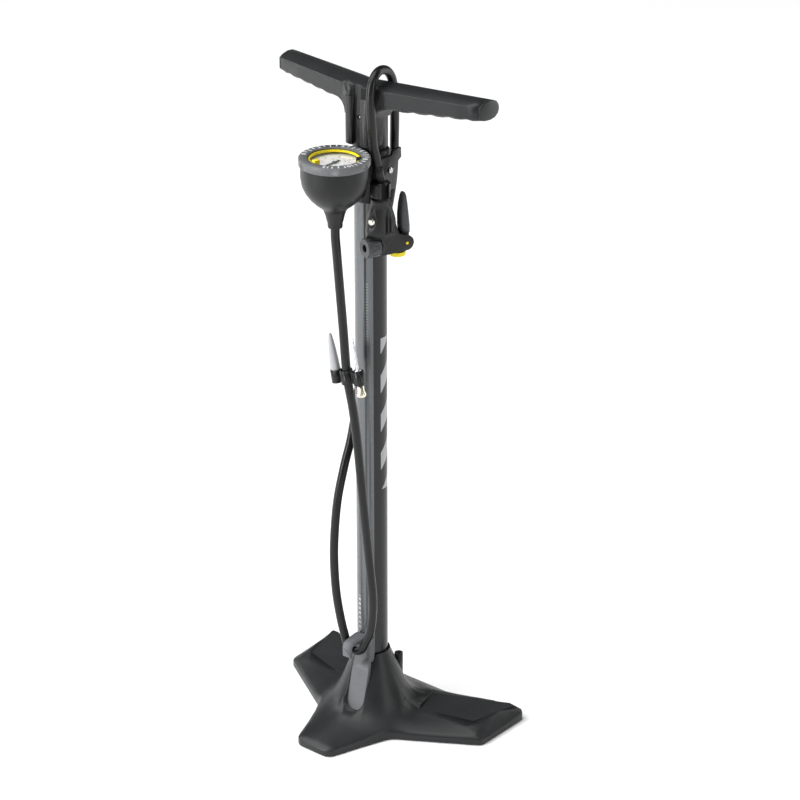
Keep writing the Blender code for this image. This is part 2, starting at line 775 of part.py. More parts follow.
def make_head(shell):
    step = BARREL_TOP - 0.0020
    outline = [
        (0.0125, HEAD_TOP), (HEAD_R - 0.0016, HEAD_TOP - 0.0006), (HEAD_R, HEAD_TOP - 0.0030),
        (HEAD_R, HEAD_FOOT + 0.0010), (HEAD_R - 0.0010, HEAD_FOOT), (BARREL_R + GAP, HEAD_FOOT),
        (BARREL_R + GAP, BARREL_TOP + GAP), (BARREL_IN - SLIDE, BARREL_TOP + GAP),
        (BARREL_IN - SLIDE, step), (LINER_IN - SLIDE, step), (LINER_IN - SLIDE, SPIGOT_FOOT),
        (BUSH_R, SPIGOT_FOOT), (BUSH_R, HEAD_TOP - WIPER_H), (WIPER_R, HEAD_TOP - WIPER_H),
        (WIPER_R, HEAD_TOP),
    ]
    head = turned("barrel_head", outline, BLACK, ring=True, steps=36)
    low = (-ARM_W / 2, GAUGE_Y + BOWL_R * 0.5, ARM_Z[0])
    arm = block("head_arm", low, (ARM_W / 2, -BARREL_R - 0.0015, ARM_Z[1]), BLACK, 0.003)
    join(head, arm)
    foot = FUNNEL_TOP - 0.0030
    bowl = [(0.0, GAUGE_TOP), (BOWL_R + GAP, GAUGE_TOP)] + bowl_side(GAP) + [(0.0122, foot), (0.0, foot)]
    cut(head, turned("bowl_room", bowl, BLACK, (0.0, GAUGE_Y, 0.0)))
    band = GAUGE_TOP - BEZEL_BAND - GAP
    room = bar("bezel_room", BEZEL_R + GAP, (0, GAUGE_Y, band), (0, GAUGE_Y, GAUGE_TOP + 0.01), BLACK, 48)
    cut(head, room, bar("head_way", WAY_R, (0.0, 0.0, AIR_Z), (0.0, GAUGE_Y, AIR_Z), BLACK, 12))
    cut(shell, bar("barrel_way", WAY_R, (0.0, 0.0, AIR_Z), (0.0, -0.0200, AIR_Z), BLACK, 12))
    inner = ROD_R + SLIDE
    top = HEAD_TOP - WIPER_H
    tube("rod_bushing", BUSH_R - GAP, inner, SPIGOT_FOOT + GAP, top - 0.0010, BRASS, 24)
    tube("rod_wiper", WIPER_R - GAP, inner, top + GAP, HEAD_TOP - 0.0002, RUBBER, 24)
    return head


# ---------------------------------------------------------------- rod, piston and handle

def make_piston():
    tip = PLUG_TOP + 0.0050
    shoulder = PISTON_TOP + GAP
    rod = [
        (0.0, ROD_TOP), (ROD_R, ROD_TOP), (ROD_R, shoulder), (ROD_TIP_R, shoulder), (ROD_TIP_R, tip),
        (0.0, tip),
    ]
    turned("piston_rod", rod, STEEL, steps=28)
    wide = LINER_IN - SLIDE
    deep = LINER_IN - 0.0030
    low, high = PISTON_FOOT + 0.0035, PISTON_FOOT + 0.0080
    piston = [
        (wide, PISTON_TOP), (wide, high), (deep, high), (deep, low), (wide, low), (wide, PISTON_FOOT),
        (ROD_TIP_R + GAP, PISTON_FOOT), (ROD_TIP_R + GAP, PISTON_TOP),
    ]
    turned("piston", piston, BLACK, ring=True, steps=24)
    tube("piston_seal", LINER_IN - GAP, deep + GAP, low + GAP, high - GAP, RUBBER, 28)
    bumper = [
        (0.0095, shoulder + BUMPER_H), (0.0105, shoulder + BUMPER_H / 2), (0.0095, shoulder),
        (ROD_R + GAP, shoulder), (ROD_R + GAP, shoulder + BUMPER_H),
    ]
    turned("top_bumper", bumper, RUBBER, ring=True, steps=24)
    high = PISTON_FOOT - GAP
    nut = bar("piston_nut", 0.0052, (0, 0, high - 0.0050), (0, 0, high), STEEL, 6)
    cut(nut, bar("nut_bore", ROD_TIP_R + GAP, (0, 0, 0.02), (0, 0, 0.08), STEEL, 24))


# Outlines of an arm, seen from its end: (behind the front edge, above the front edge)
ARM_TIP = [
    (0.0, 0.0), (0.0060, 0.0028), (0.0130, 0.0042), (0.0200, 0.0036), (0.0260, 0.0010), (0.0292, -0.0030),
    (0.0300, -0.0075), (0.0282, -0.0120), (0.0235, -0.0150), (0.0165, -0.0160), (0.0085, -0.0152),
    (0.0025, -0.0134), (0.0, -0.0112),
]
ARM_ROOT = [
    (0.0, 0.0), (0.0065, 0.0026), (0.0145, 0.0040), (0.0225, 0.0038), (0.0285, 0.0018), (0.0318, -0.0030),
    (0.0326, -0.0090), (0.0314, -0.0160), (0.0270, -0.0192), (0.0190, -0.0198), (0.0100, -0.0196),
    (0.0030, -0.0190), (0.0, -0.0172),
]
LOW_POINTS = (7, 8, 9, 10, 11, 12)     # the points of an arm's underside
FILLET = 0.0130
FINGERS = (0.0400, 0.0180, 4.6)        # start, pitch and number of the finger swells
SWELL = 0.0012


def arm_ring(x):
    """The handle's outline in the upright plane at x."""
    far = abs(x)
    share = min(1.0, max(0.0, (far - 0.018) / (HANDLE_HALF - 0.018)))
    front = HANDLE_FRONT + SWEEP * far / HANDLE_HALF
    edge = HANDLE_Z - DROOP * far / HANDLE_HALF
    drop = FILLET
    if far > NECK_R:
        side = min(far - NECK_R, FILLET)
        drop = FILLET - math.sqrt(FILLET**2 - (FILLET - side) ** 2)
    count = (far - FINGERS[0]) / FINGERS[1]
    swell = SWELL * abs(math.sin(math.pi * count)) ** 0.6 if 0.0 < count < FINGERS[2] else 0.0
    ring = []
    for i, (tip, root) in enumerate(zip(ARM_TIP, ARM_ROOT)):
        y = front + tip[0] * share + root[0] * (1.0 - share)
        z = edge + tip[1] * share + root[1] * (1.0 - share)
        if i in LOW_POINTS:
            z -= drop + swell * (1.0 if i in LOW_POINTS[1:5] else 0.5)
        ring.append((x, y, z))
    return ring


def make_handle():
    inner = HANDLE_HALF - HANDLE_CAP
    half = [0.0, 0.009, 0.0177, 0.0190, 0.0210, 0.0240, 0.0280, 0.0307, 0.0360]
    first, pitch, fingers = FINGERS
    half += [first + pitch * k / 3 for k in range(int(fingers * 3) + 1)]
    half = [x for x in half if x < inner - 0.001] + [inner]
    places = [-x for x in reversed(half[1:])] + half
    handle = loft("handle", [arm_ring(x) for x in places], CHARCOAL)
    foot = HEAD_TOP + 0.0020
    neck = bar("handle_neck", NECK_R, (0, 0, foot), (0, 0, HANDLE_Z - 0.0110), CHARCOAL, 48)
    front = HANDLE_FRONT + GAP
    low, high = GAUGE_TOP + 0.0020, HANDLE_Z - 0.0110
    boss = sheet("handle_boss", rounded([
        (-NECK_R, front, 0.0080), (NECK_R, front, 0.0080), (NECK_R - 0.0002, 0.0080, 0.0070),
        (-NECK_R + 0.0002, 0.0080, 0.0070),
    ], 4), high - low, CHARCOAL)
    boss.location.z = (low + high) / 2
    join(handle, neck, boss)
    under = HEAD_TOP - 0.0100
    cut(handle, bar("rod_bore", ROD_R + GAP, (0, 0, under), (0, 0, ROD_TOP + GAP), CHARCOAL, 32))
    low, high = (-NOTCH_W / 2, -0.0300, under), (NOTCH_W / 2, -NECK_R + 0.0001, HANDLE_Z + 0.0100)
    cut(handle, block("handle_notch", low, high, CHARCOAL))
    pin_z = ROD_TOP - PIN_DROP
    room = PIN_R + GAP
    cut(handle, bar("pin_bore", room, (0, -NECK_R - 0.0002, pin_z), (0, 0.03, pin_z), CHARCOAL, 20))
    rod = bpy.data.objects["piston_rod"]
    cut(rod, bar("rod_pin_bore", room, (0, -0.02, pin_z), (0, 0.02, pin_z), STEEL, 20))
    bar("handle_pin", PIN_R, (0, -NECK_R + 0.0020, pin_z), (0, 0.0140, pin_z), STEEL, 20)
    for side, name in ((1, "handle_cap_right"), (-1, "handle_cap_left")):
        ends = (side * (inner + GAP), side * HANDLE_HALF)
        cap = loft(name, [arm_ring(x) for x in ends], CHARCOAL)
        round_edges(cap, 0.0010, 2, 60.0)


# ---------------------------------------------------------------- gauge

def make_gauge():
    axis = empty("gauge_axis", (0.0, GAUGE_Y, 0.0))
    rim = GAUGE_TOP - BEZEL_LIP
    wall = BOWL_R - BOWL_WALL
    glass = rim - 0.0011
    face = glass - WINDOW_T - DIAL_DROP
    bowl = [(BOWL_R, rim)] + bowl_side(0.0) + [
        (0.0118, FUNNEL_TOP), (STEM_BORE_R, FUNNEL_TOP), (STEM_BORE_R, BOWL_FLOOR),
        (0.0120, BOWL_FLOOR), (0.0225, BOWL_FLOOR + 0.0060), (0.0290, BOWL_FLOOR + 0.0160),
        (wall, BOWL_FLOOR + 0.0260), (wall, rim),
    ]
    turned("gauge_housing", bowl, BLACK, ring=True, steps=36, parent=axis)
    top = FUNNEL_TOP - GAP
    boot = [
        (0.0116, top), (0.0100, top - 0.0042), (0.0084, top - 0.0107), (0.0074, top - 0.0142),
        (0.0076, top - 0.0159), (0.0072, FUNNEL_FOOT), (STEM_BORE_R, FUNNEL_FOOT), (STEM_BORE_R, top),
    ]
    turned("hose_boot", boot, BLACK, ring=True, steps=28, parent=axis)
    make_bezel(axis, rim)
    window = [(0.0, glass), (wall - GAP, glass), (wall - GAP, glass - WINDOW_T), (0.0, glass - WINDOW_T)]
    turned("gauge_window", window, GLASS, steps=32, parent=axis)
    make_marker(axis, glass, rim, wall)
    dial = [
        (wall - SLIDE, face), (wall - SLIDE, face - 0.0010), (0.0015, face - 0.0010), (0.0015, face)
    ]
    turned("gauge_dial", dial, DIAL, ring=True, steps=32, parent=axis)
    hand = [(-0.0016, 0.0075), (-0.0011, -0.0200), (0.0, -0.0222), (0.0011, -0.0200), (0.0016, 0.0075)]
    needle = sheet("gauge_needle", hand[::-1], 0.0004, BLACK)
    needle.parent = axis
    needle.location.z = face + 0.0007
    staff = bar("needle_staff", 0.0008, (0, 0, face - 0.0040), (0, 0, face + 0.0012), STEEL, 16, axis)
    boss = bar("needle_boss", 0.0024, (0, 0, face + 0.0004), (0, 0, face + 0.0013), BLACK, 20, axis)
    join(needle, staff, boss)
    make_movement(axis, face)


def make_bezel(axis, rim):
    """The ring over the bowl's rim, with six flats on its band."""
    band = GAUGE_TOP - BEZEL_BAND
    inner = WINDOW_R + 0.0008
    bezel = [
        (BEZEL_R - 0.0010, GAUGE_TOP), (BEZEL_R, GAUGE_TOP - 0.0010), (BEZEL_R, band + 0.0006),
        (BEZEL_R - 0.0006, band), (BOWL_R + GAP, band), (BOWL_R + GAP, rim + GAP), (inner, rim + GAP),
        (inner, GAUGE_TOP - 0.0006), (inner + 0.0006, GAUGE_TOP),
    ]
    ring = turned("gauge_bezel", bezel, GREY, ring=True, steps=40, parent=axis)
    low, high = (-0.0045, -0.0010, band + 0.0012), (0.0045, 0.0010, GAUGE_TOP - 0.0012)
    off = BEZEL_R + 0.0006
    for turn in range(8, 360, 60):
        angle = math.radians(turn)
        flat = block("bezel_flat", low, high, GREY, parent=axis)
        flat.location = (math.cos(angle) * off, math.sin(angle) * off, 0.0)
        flat.rotation_euler = (0.0, 0.0, angle + math.pi / 2)
        cut(ring, flat)


def make_marker(axis, glass, rim, wall):
    """The ring on the window that is turned to mark a pressure, with its nose."""
    outer = wall - 0.0012
    top = GAUGE_TOP - 0.0016
    marker = [
        (WINDOW_R, top), (WINDOW_R, rim), (outer, rim), (outer, glass + GAP),
        (WINDOW_R - 0.0016, glass + GAP), (WINDOW_R - 0.0014, top),
    ]
    ring = turned("pressure_marker", marker, YELLOW, ring=True, steps=32, parent=axis)
    low, high = (-0.0024, -0.0030, glass + 0.0006), (0.0024, 0.0030, GAUGE_TOP + 0.0010)
    nose = block("marker_nose", low, high, YELLOW, parent=axis)
    angle = math.radians(NOSE_AT)
    off = WINDOW_R - 0.0040
    nose.location = (math.cos(angle) * off, math.sin(angle) * off, 0.0)
    nose.rotation_euler = (0.0, 0.0, angle + math.pi / 2)
    join(ring, nose)


def make_movement(axis, face):
    """The block that carries the needle's staff, its socket and the bent pressure tube."""
    foot = face - 0.0090
    low, high = (-0.0090, -0.0060, foot), (0.0090, 0.0060, face - 0.0013)
    movement = block("gauge_movement", low, high, BRASS, parent=axis)
    cut(movement, bar("staff_bore", 0.0012, (0, 0, face - 0.0050), (0, 0, face + 0.01), BRASS, 16, axis))
    top = foot - GAP
    base_z = BOWL_FLOOR + GAP
    socket_r = 0.0060
    socket = bar("gauge_socket", socket_r, (0, 0, base_z), (0, 0, top), BRASS, 20, axis)
    cut(socket, bar("socket_bore", 0.0012, (0, 0, base_z - 0.01), (0, 0, top - 0.0040), BRASS, 16, axis))
    mid = BOWL_FLOOR + 0.0142
    far = 0.0200
    coil = [(socket_r + GAP, 0.0, mid), (0.0110, 0.0, mid), (0.0150, 0.0010, mid), (0.0180, 0.0038, mid)]
    coil += [(x, y, mid) for x, y in arc((0.0, 0.0), far, 25.0, 291.0, 15)]
    wire("bourdon_tube", coil, 0.0016, BRASS, parent=axis)


# ---------------------------------------------------------------- hose and the clip on it

FERRULE_LEAN = Vector((-0.130, -0.106, 1.0)).normalized()
FERRULE_R = 0.0053
FERRULE_L = 0.0172


def ferrule_foot():
    return Vector((CHUCK[0], CHUCK[1], CHUCK[2] + NECK_HEAD - 0.0006))


def hose_points():
    """The hose's route, from the chuck's ferrule over the handle and round the hook to the gauge."""
    start = ferrule_foot() + FERRULE_LEAN * (FERRULE_L + GAP)
    lead = start + FERRULE_LEAN * 0.0080
    way = [
        (0.0216, -0.0215, 0.6650), (0.0221, -0.0235, 0.6800), (0.0215, -0.0246, 0.6980),
        (0.0209, -0.0242, 0.7150), (0.0203, -0.0210, 0.7275), (0.0190, -0.0140, 0.7345),
        (0.0175, -0.0040, 0.7365), (0.0158, 0.0070, 0.7328), (0.0141, 0.0165, 0.7228),
        (0.0124, 0.0218, 0.7075), (0.0100, 0.0262, 0.6840), (0.0062, 0.0305, 0.6580),
        (0.0030, 0.0335, 0.6300), (-0.0015, 0.0350, 0.5990), (-0.0095, 0.0320, 0.5500),
        (-0.0185, 0.0255, 0.4850), (-0.0245, 0.0145, 0.4050), (-0.0250, -0.0010, 0.3350),
        (-0.0240, -0.0160, 0.3000), (-0.0246, -0.0265, 0.2650), (-0.0246, -0.0320, 0.2290),
        (-0.0242, -0.0340, 0.1950), (-0.0219, -0.0340, 0.1590), (-0.0165, -0.0340, 0.1300),
        (-0.0116, -0.0336, 0.1112), (-0.0067, -0.0334, 0.0984), (0.0025, -0.0333, 0.0947),
        (0.0117, -0.0334, 0.0984), (0.0178, -0.0336, 0.1104), (0.0258, -0.0342, 0.1290),
        (0.0308, -0.0363, 0.1650), (0.0282, -0.0390, 0.2150), (0.0250, -0.0415, 0.2620),
        (0.0216, -0.0435, 0.3080), (0.0184, -0.0455, 0.3535), (0.0146, -0.0475, 0.3900),
        (0.0094, -0.0496, 0.4240), (0.0068, -0.0518, 0.4750), (0.0045, -0.0538, 0.5190),
        (0.0018, -0.0545, 0.5550), (0.0, GAUGE_Y, 0.5740),
    ]
    rise = BARREL_TOP - ROUTE_TOP
    span = ROUTE_FREE - ROUTE_HOLD
    moved = [(x, y, z + rise * min(max((z - ROUTE_HOLD) / span, 0.0), 1.0)) for x, y, z in way]
    end = (0.0, GAUGE_Y, FUNNEL_FOOT - GAP)
    return smooth_route([tuple(start), tuple(lead), *moved, end], HOSE_POINTS)


def make_hose():
    return wire("hose", hose_points(), HOSE_R, RUBBER)


def clip_frame():
    """Where the clip is on the hose: its middle, its upward axis and its sideways axis."""
    points = hose_points()
    near = [i for i, p in enumerate(points) if p[1] < -0.040 and abs(p[2] - CLIP_AT) < 0.02]
    i = min(near, key=lambda k: abs(points[k][2] - CLIP_AT))
    up = Vector(points[i + 1] - points[i - 1]).normalized()
    share = (CLIP_AT - points[i][2]) / up.z
    middle = Vector(points[i]) + up * share
    across = Vector((0.99, 0.12, 0.0))
    across = (across - up * across.dot(up)).normalized()
    return middle, up, across


def make_clip():
    middle, up, across = clip_frame()
    frame = empty("clip_axis", middle)
    frame.rotation_euler = Matrix((across, up.cross(across), up)).transposed().to_euler()
    half = CLIP_H / 2
    low, high = -half + 0.0004, half - 0.0006
    room = HOSE_R + GAP + 0.0004
    ring = bar("accessory_clip", room + 0.0014, (0, 0, -half), (0, 0, half), BLACK, 24, frame)
    solid(ring)
    (left, left_r), (right, right_r) = CLIP_LEFT, CLIP_RIGHT
    lobes = [
        bar("clip_lobe", radius, (x, 0, low), (x, 0, high), BLACK, 20, frame)
        for x, radius in ((left, left_r), (right, right_r))
    ]
    ends = (left, -0.0020, low + 0.0006), (right, 0.0020, high - 0.0006)
    web = block("clip_web", *ends, BLACK, parent=frame)
    join(ring, *lobes, web)
    for x, radius in ((0.0, room), (left, left_r - 0.0018), (right, right_r - 0.0018)):
        cut(ring, bar("clip_hole", radius, (x, 0, -0.02), (x, 0, 0.02), BLACK, 24, frame))
    top = high + GAP
    stem = left_r - 0.0018 - GAP
    cone = [
        (0.0, top + NOZZLE_H), (0.0010, top + NOZZLE_H - 0.0003), (0.0019, top + NOZZLE_H - 0.0018),
        (0.0030, top + 0.0300), (0.0040, top + 0.0200), (0.0048, top + 0.0095),
        (NOZZLE_R, top + 0.0012), (NOZZLE_R, top), (stem, top), (stem, -half), (0.0, -half),
    ]
    turned("cone_nozzle", cone, GREY, (left, 0.0, 0.0), steps=24, parent=frame)
    stem = right_r - 0.0018 - 0.0018
    needle = [
        (0.0, top + 0.0360), (0.0007, top + 0.0355), (0.0012, top + 0.0200), (0.0017, top + 0.0030),
        (0.0018, top + 0.0018), (0.0038, top + 0.0015), (0.0038, top), (stem, top), (stem, 0.0),
        (0.0, 0.0),
    ]
    turned("ball_needle", needle, STEEL, (right, 0.0, 0.0), steps=20, parent=frame)
    low -= GAP
    wide = right_r - 0.0018 - 0.0004
    brass = [
        (0.0, -GAP), (wide, -GAP), (wide, low), (0.0043, low), (0.0043, low - 0.0088),
        (0.0050, low - 0.0092), (0.0050, low - 0.0122), (0.0044, low - 0.0132), (0.0, low - 0.0132),
    ]
    turned("needle_base", brass, BRASS, (right, 0.0, 0.0), steps=24, parent=frame)


# ---------------------------------------------------------------- dock and chuck

DOCK_X = (HEAD_R + GAP, HEAD_R + 0.0034)


# The dock's plate, seen from the side: (y, height over the barrel's top)
PLATE = [
    (-0.0120, 0.0076), (0.0060, 0.0076), (0.0085, 0.0120), (0.0205, 0.0125), (0.0210, 0.0020),
    (0.0150, -0.0015), (0.0115, -0.0280), (-0.0090, -0.0280),
]
DOCK_SCREW = (0.0030, BARREL_TOP - 0.0070)   # the screw's y and height


def make_dock():
    near, far = DOCK_X
    plate = [(y, BARREL_TOP + rise) for y, rise in PLATE]
    dock = sheet("chuck_dock", plate[::-1], far - near, BLACK, bevel=0.0006)
    upright = Matrix(((0, 0, 1), (1, 0, 0), (0, 1, 0))).to_4x4()
    dock.matrix_basis = Matrix.Translation(((near + far) / 2, 0.0, 0.0)) @ upright
    solid(dock)
    x, y, z = CHUCK
    low, high = z + NECK_FOOT + 0.0014, z + NECK_HEAD - 0.0008
    room = CHUCK_NECK_R + SLIDE
    ring = tube("dock_ring", room + 0.0022, room, low, high, BLACK, at=(x, y, 0.0))
    mouth = Vector((math.sin(CHUCK_TURN), -math.cos(CHUCK_TURN), 0.0))
    gap = block("dock_mouth", (-0.0046, 0.0, low - 0.001), (0.0046, 0.0200, high + 0.001), BLACK)
    gap.location = (x + mouth.x * 0.002, y + mouth.y * 0.002, 0.0)
    gap.rotation_euler = (0.0, 0.0, math.atan2(mouth.y, mouth.x) - math.pi / 2)
    join(dock, ring)
    cut(dock, gap, bar("neck_room", room, (x, y, low - 0.03), (x, y, high + 0.05), BLACK, 32))
    cut(dock, bar("dock_bore", 0.0018, (0.010, *DOCK_SCREW), (0.030, *DOCK_SCREW), BLACK, 20))
    head = bpy.data.objects["barrel_head"]
    foot = BARREL_R + 0.0008
    cut(head, bar("head_screw_bore", 0.0016, (foot, *DOCK_SCREW), (0.0300, *DOCK_SCREW), BLACK, 20))
    top = far + 0.0016
    screw = bar("dock_screw", 0.0030, (far + GAP, *DOCK_SCREW), (top, *DOCK_SCREW), STEEL, 24)
    ends = (foot + 0.0004, *DOCK_SCREW), (far + 0.0008, *DOCK_SCREW)
    shank = bar("dock_screw_shank", 0.0013, *ends, STEEL, 20)
    join(screw, shank)
    y, z = DOCK_SCREW
    low, high = (far + 0.0010, y - 0.0030, z - 0.0004), (top + 0.0010, y + 0.0030, z + 0.0004)
    cut(screw, block("screw_slot", low, high, STEEL))


def body_ring(z, back, ahead, side, count=20):
    """One section of the chuck's body: an oval from -back to ahead, side to each side."""
    ring = []
    for i in range(count):
        turn = 2 * math.pi * i / count
        x = math.cos(turn)
        square = 0.80
        across = math.copysign(abs(math.sin(turn)) ** square, math.sin(turn))
        ring.append(((ahead if x > 0 else back) * x, side * across, z))
    return ring


def make_chuck():
    frame = empty("chuck_frame", CHUCK, CHUCK_TURN)
    start = PORT_X + COLLAR_L + GAP
    rings = [
        body_ring(COLLAR_R + 0.0007, 0.0154, 0.0170, 0.0108),
        body_ring(0.0180, 0.0157, 0.0165, 0.0112),
        body_ring(0.0280, 0.0146, 0.0152, 0.0112),
        body_ring(0.0400, 0.0114, 0.0117, 0.0098),
        body_ring(NECK_FOOT - 0.0046, 0.0092, 0.0094, 0.0090),
        body_ring(NECK_FOOT - 0.0042, 0.0098, 0.0098, 0.0096),
        body_ring(NECK_FOOT, 0.0096, 0.0096, 0.0094),
    ]
    body = loft("chuck_body", rings, BLACK, parent=frame)
    neck = bar("chuck_neck", CHUCK_NECK_R, (0, 0, NECK_FOOT - 0.01), (0, 0, NECK_HEAD), BLACK, 28, frame)
    cheek = (
        [(start + 0.0003, -BAR_R + 0.0002)]
        + arc((PIVOT_X, 0.0), CHEEK_R, -95.0, 60.0, 8)
        + [(PIVOT_X - 0.0093, 0.0115), (0.0130, 0.0230), (0.0, 0.0230), (start + 0.0003, 0.0115)]
    )
    wings = sheet("chuck_cheeks", cheek, CHEEK_T, BLACK, bevel=0.0012)
    wings.parent = frame
    wings.rotation_euler = (math.pi / 2, 0.0, 0.0)
    spout = bar("chuck_spout", 0.0078, (PORT_X + 0.0030, 0, 0), (start + 0.0040, 0, 0), BLACK, 24, frame)
    flange = bar("chuck_flange", BAR_R + 0.0010, (start, 0, 0), (start + 0.0030, 0, 0), BLACK, 28, frame)
    drop = bar("chuck_drop", DROP_R, (DROP_X, 0, -0.0115), (DROP_X, 0, 0.0), BLACK, 28, frame)
    join(body, neck, wings, flange, spout, drop)
    make_bores(body, frame, start)
    button = [
        (0.0, 0.0161), (BUTTON_R - 0.0010, 0.0159), (BUTTON_R, 0.0150), (BUTTON_R, 0.0064), (0.0, 0.0064),
    ]
    bleed = turned("bleed_button", button, STEEL, steps=20, parent=frame)
    solid(bleed)
    way = Vector((math.cos(BUTTON_TURN), math.sin(BUTTON_TURN), 0.0))
    aim(bleed, (0.0, 0.0, BUTTON_Z), way)
    make_chuck_ends(frame)
    make_lever(frame)
    foot = ferrule_foot()
    ferrule = bar("hose_ferrule", FERRULE_R, foot, foot + FERRULE_LEAN * FERRULE_L, BLACK, 28)
    x, y, z = CHUCK
    level = z + NECK_HEAD + GAP
    low, high = (x - 0.02, y - 0.02, level - 0.02), (x + 0.02, y + 0.02, level)
    cut(ferrule, block("ferrule_under", low, high, BLACK))


def make_bores(body, frame, start):
    """The lever's slot, the pivot's bore, the air ways, the button's bore and the grip grooves."""
    slot = (SLOT_W / 2, 0.0300)
    low, high = (PIVOT_X - 0.0086, -slot[0], SLOT_FOOT), (PIVOT_X + 0.0200, slot[0], slot[1])
    cut(body, block("lever_slot", low, high, BLACK, parent=frame))
    room = PIVOT_R + GAP
    cut(body, bar("pivot_bore", room, (PIVOT_X, -0.03, 0), (PIVOT_X, 0.03, 0), BLACK, 16, frame))
    cut(body, bar("spout_bore", 0.0055, (PORT_X, 0, 0), (start - 0.0010, 0, 0), BLACK, 28, frame))
    cut(body, bar("plunger_bore", PLUNGER_R + SLIDE, (PORT_X, 0, 0), (PIVOT_X, 0, 0), BLACK, 24, frame))
    top = SLOT_FOOT - 0.0004
    cut(body, bar("drop_bore", 0.0050, (DROP_X, 0, -0.0200), (DROP_X, 0, top), BLACK, 24, frame))
    way = Vector((math.cos(BUTTON_TURN), math.sin(BUTTON_TURN), 0.0))
    middle = Vector((0.0, 0.0, BUTTON_Z))
    bore = bar("bleed_bore", BUTTON_R + SLIDE, middle + way * 0.0038, middle + way * 0.0300, BLACK, 24, frame)
    cut(body, bore)
    for k in (-1, 0, 1):
        x = 0.0050 + 0.0042 * k
        low, high = (x - 0.0013, -0.0200, 0.0165), (x + 0.0013, -0.0094, 0.0440)
        cut(body, block("side_groove", low, high, BLACK, parent=frame))


def make_chuck_ends(frame):
    """The knurled collar and the lower ring, each with its rubber washer, and the plunger."""
    outline = [
        (COLLAR_R - 0.0010, COLLAR_L), (COLLAR_R, COLLAR_L - 0.0010), (COLLAR_R, 0.0012),
        (COLLAR_R - 0.0012, 0.0), (0.0041, 0.0), (0.0041, 0.0026), (0.0080, 0.0026), (0.0080, COLLAR_L),
    ]
    collar = turned("port_collar", outline, GREY, ring=True, steps=30, parent=frame)
    solid(collar)
    collar.location = (PORT_X, 0.0, 0.0)
    collar.rotation_euler = (0.0, math.pi / 2, 0.0)
    for y, z in arc((0.0, 0.0), COLLAR_R + 0.0004, 0.0, 330.0, 11):
        ends = (PORT_X + 0.0035, y, z), (PORT_X + 0.0200, y, z)
        cut(collar, bar("collar_groove", 0.0011, *ends, GREY, 6, frame))
    port = tube("port_washer", 0.0052, 0.0030, 0.0, 0.0040, RUBBER, 24)
    port.parent = frame
    solid(port)
    port.location = (PORT_X + 0.0034, 0.0, 0.0)
    port.rotation_euler = (0.0, math.pi / 2, 0.0)
    rim = DROP_R + GAP
    wide = DROP_R + 0.0014
    ring = [
        (wide, -0.0092), (wide, -0.0130), (wide - 0.0006, -0.0136), (0.0036, -0.0136),
        (0.0036, -0.0120), (rim, -0.0120), (rim, -0.0092),
    ]
    turned("lower_collar", ring, YELLOW, (DROP_X, 0.0, 0.0), ring=True, steps=24, parent=frame)
    low = tube("lower_washer", 0.0047, 0.0028, -0.0112, SLOT_FOOT - 0.0007, RUBBER, 24)
    low.parent = frame
    low.location = (DROP_X, 0.0, 0.0)
    tip = PIVOT_X + CAM_OFF - CAM_R - GAP
    bar("plunger", PLUNGER_R, (PORT_X + 0.0090, 0, 0), (tip, 0, 0), BRASS, 20, frame)


# The lever from its foot up: height, near side and far side from the neck's axis, half its width
LEVER = [
    (0.0100, 0.0212, 0.0318, 0.0060), (0.0180, 0.0206, 0.0314, 0.0064), (0.0290, 0.0207, 0.0302, 0.0064),
    (0.0400, 0.0216, 0.0290, 0.0056), (0.0480, 0.0230, 0.0280, 0.0044), (0.0515, 0.0240, 0.0270, 0.0028),
]


def make_lever(frame):
    rings = []
    for z, near, far, side in LEVER:
        middle, half = (near + far) / 2, (far - near) / 2
        ring = []
        for i in range(20):
            turn = 2 * math.pi * i / 20
            x = math.copysign(abs(math.cos(turn)) ** 0.7, math.cos(turn))
            y = math.copysign(abs(math.sin(turn)) ** 0.6, math.sin(turn))
            ring.append((middle + half * x, side * y, z))
        rings.append(ring)
    lever = loft("chuck_lever", rings, GREY, parent=frame)
    side = SLOT_W / 2 - SLIDE
    cam_x, cam_z = PIVOT_X + CAM_OFF, -CAM_OFF
    cam = bar("lever_cam", CAM_R, (cam_x, -side, cam_z), (cam_x, side, cam_z), GREY, 28, frame)
    low, high = (PIVOT_X - 0.0036, -side, 0.0), (PIVOT_X + 0.0044, side, 0.0130)
    join(lever, cam, block("lever_stem", low, high, GREY, parent=frame))
    room = PIVOT_R + GAP
    cut(lever, bar("cam_bore", room, (PIVOT_X, -0.02, 0), (PIVOT_X, 0.02, 0), GREY, 16, frame))
    end = CHEEK_T / 2 + GAP
    bar("lever_pin", PIVOT_R, (PIVOT_X, -end, 0), (PIVOT_X, end, 0), YELLOW, 16, frame)


def make_bolt(base):
    """The bolt that draws the barrel's foot plug down into the base."""
    head_r = 0.0052
    low, high = BASE_UNDER + 0.0006, BASE_UNDER + 0.0046
    head = bar("barrel_bolt", head_r, (0, 0, low), (0, 0, high), STEEL, 6)
    tip = BARREL_FOOT + 0.0026
    join(head, bar("bolt_shank", BOLT_R - 0.0009, (0, 0, high - 0.0006), (0, 0, tip), STEEL, 20))
    cut(base, bar("bolt_room", head_r + 0.0012, (0, 0, 0.0), (0, 0, high + GAP), STEEL, 32))


base = make_base()
make_hook(base)
make_feet(base)
make_treads(base)
make_holder(base)
shell = make_barrel()
make_bolt(base)
make_head(shell)
make_piston()
make_handle()
make_gauge()
make_hose()
make_clip()
make_dock()
make_chuck()
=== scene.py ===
import json
import math

import bmesh
import bpy
from mathutils import Matrix, Vector

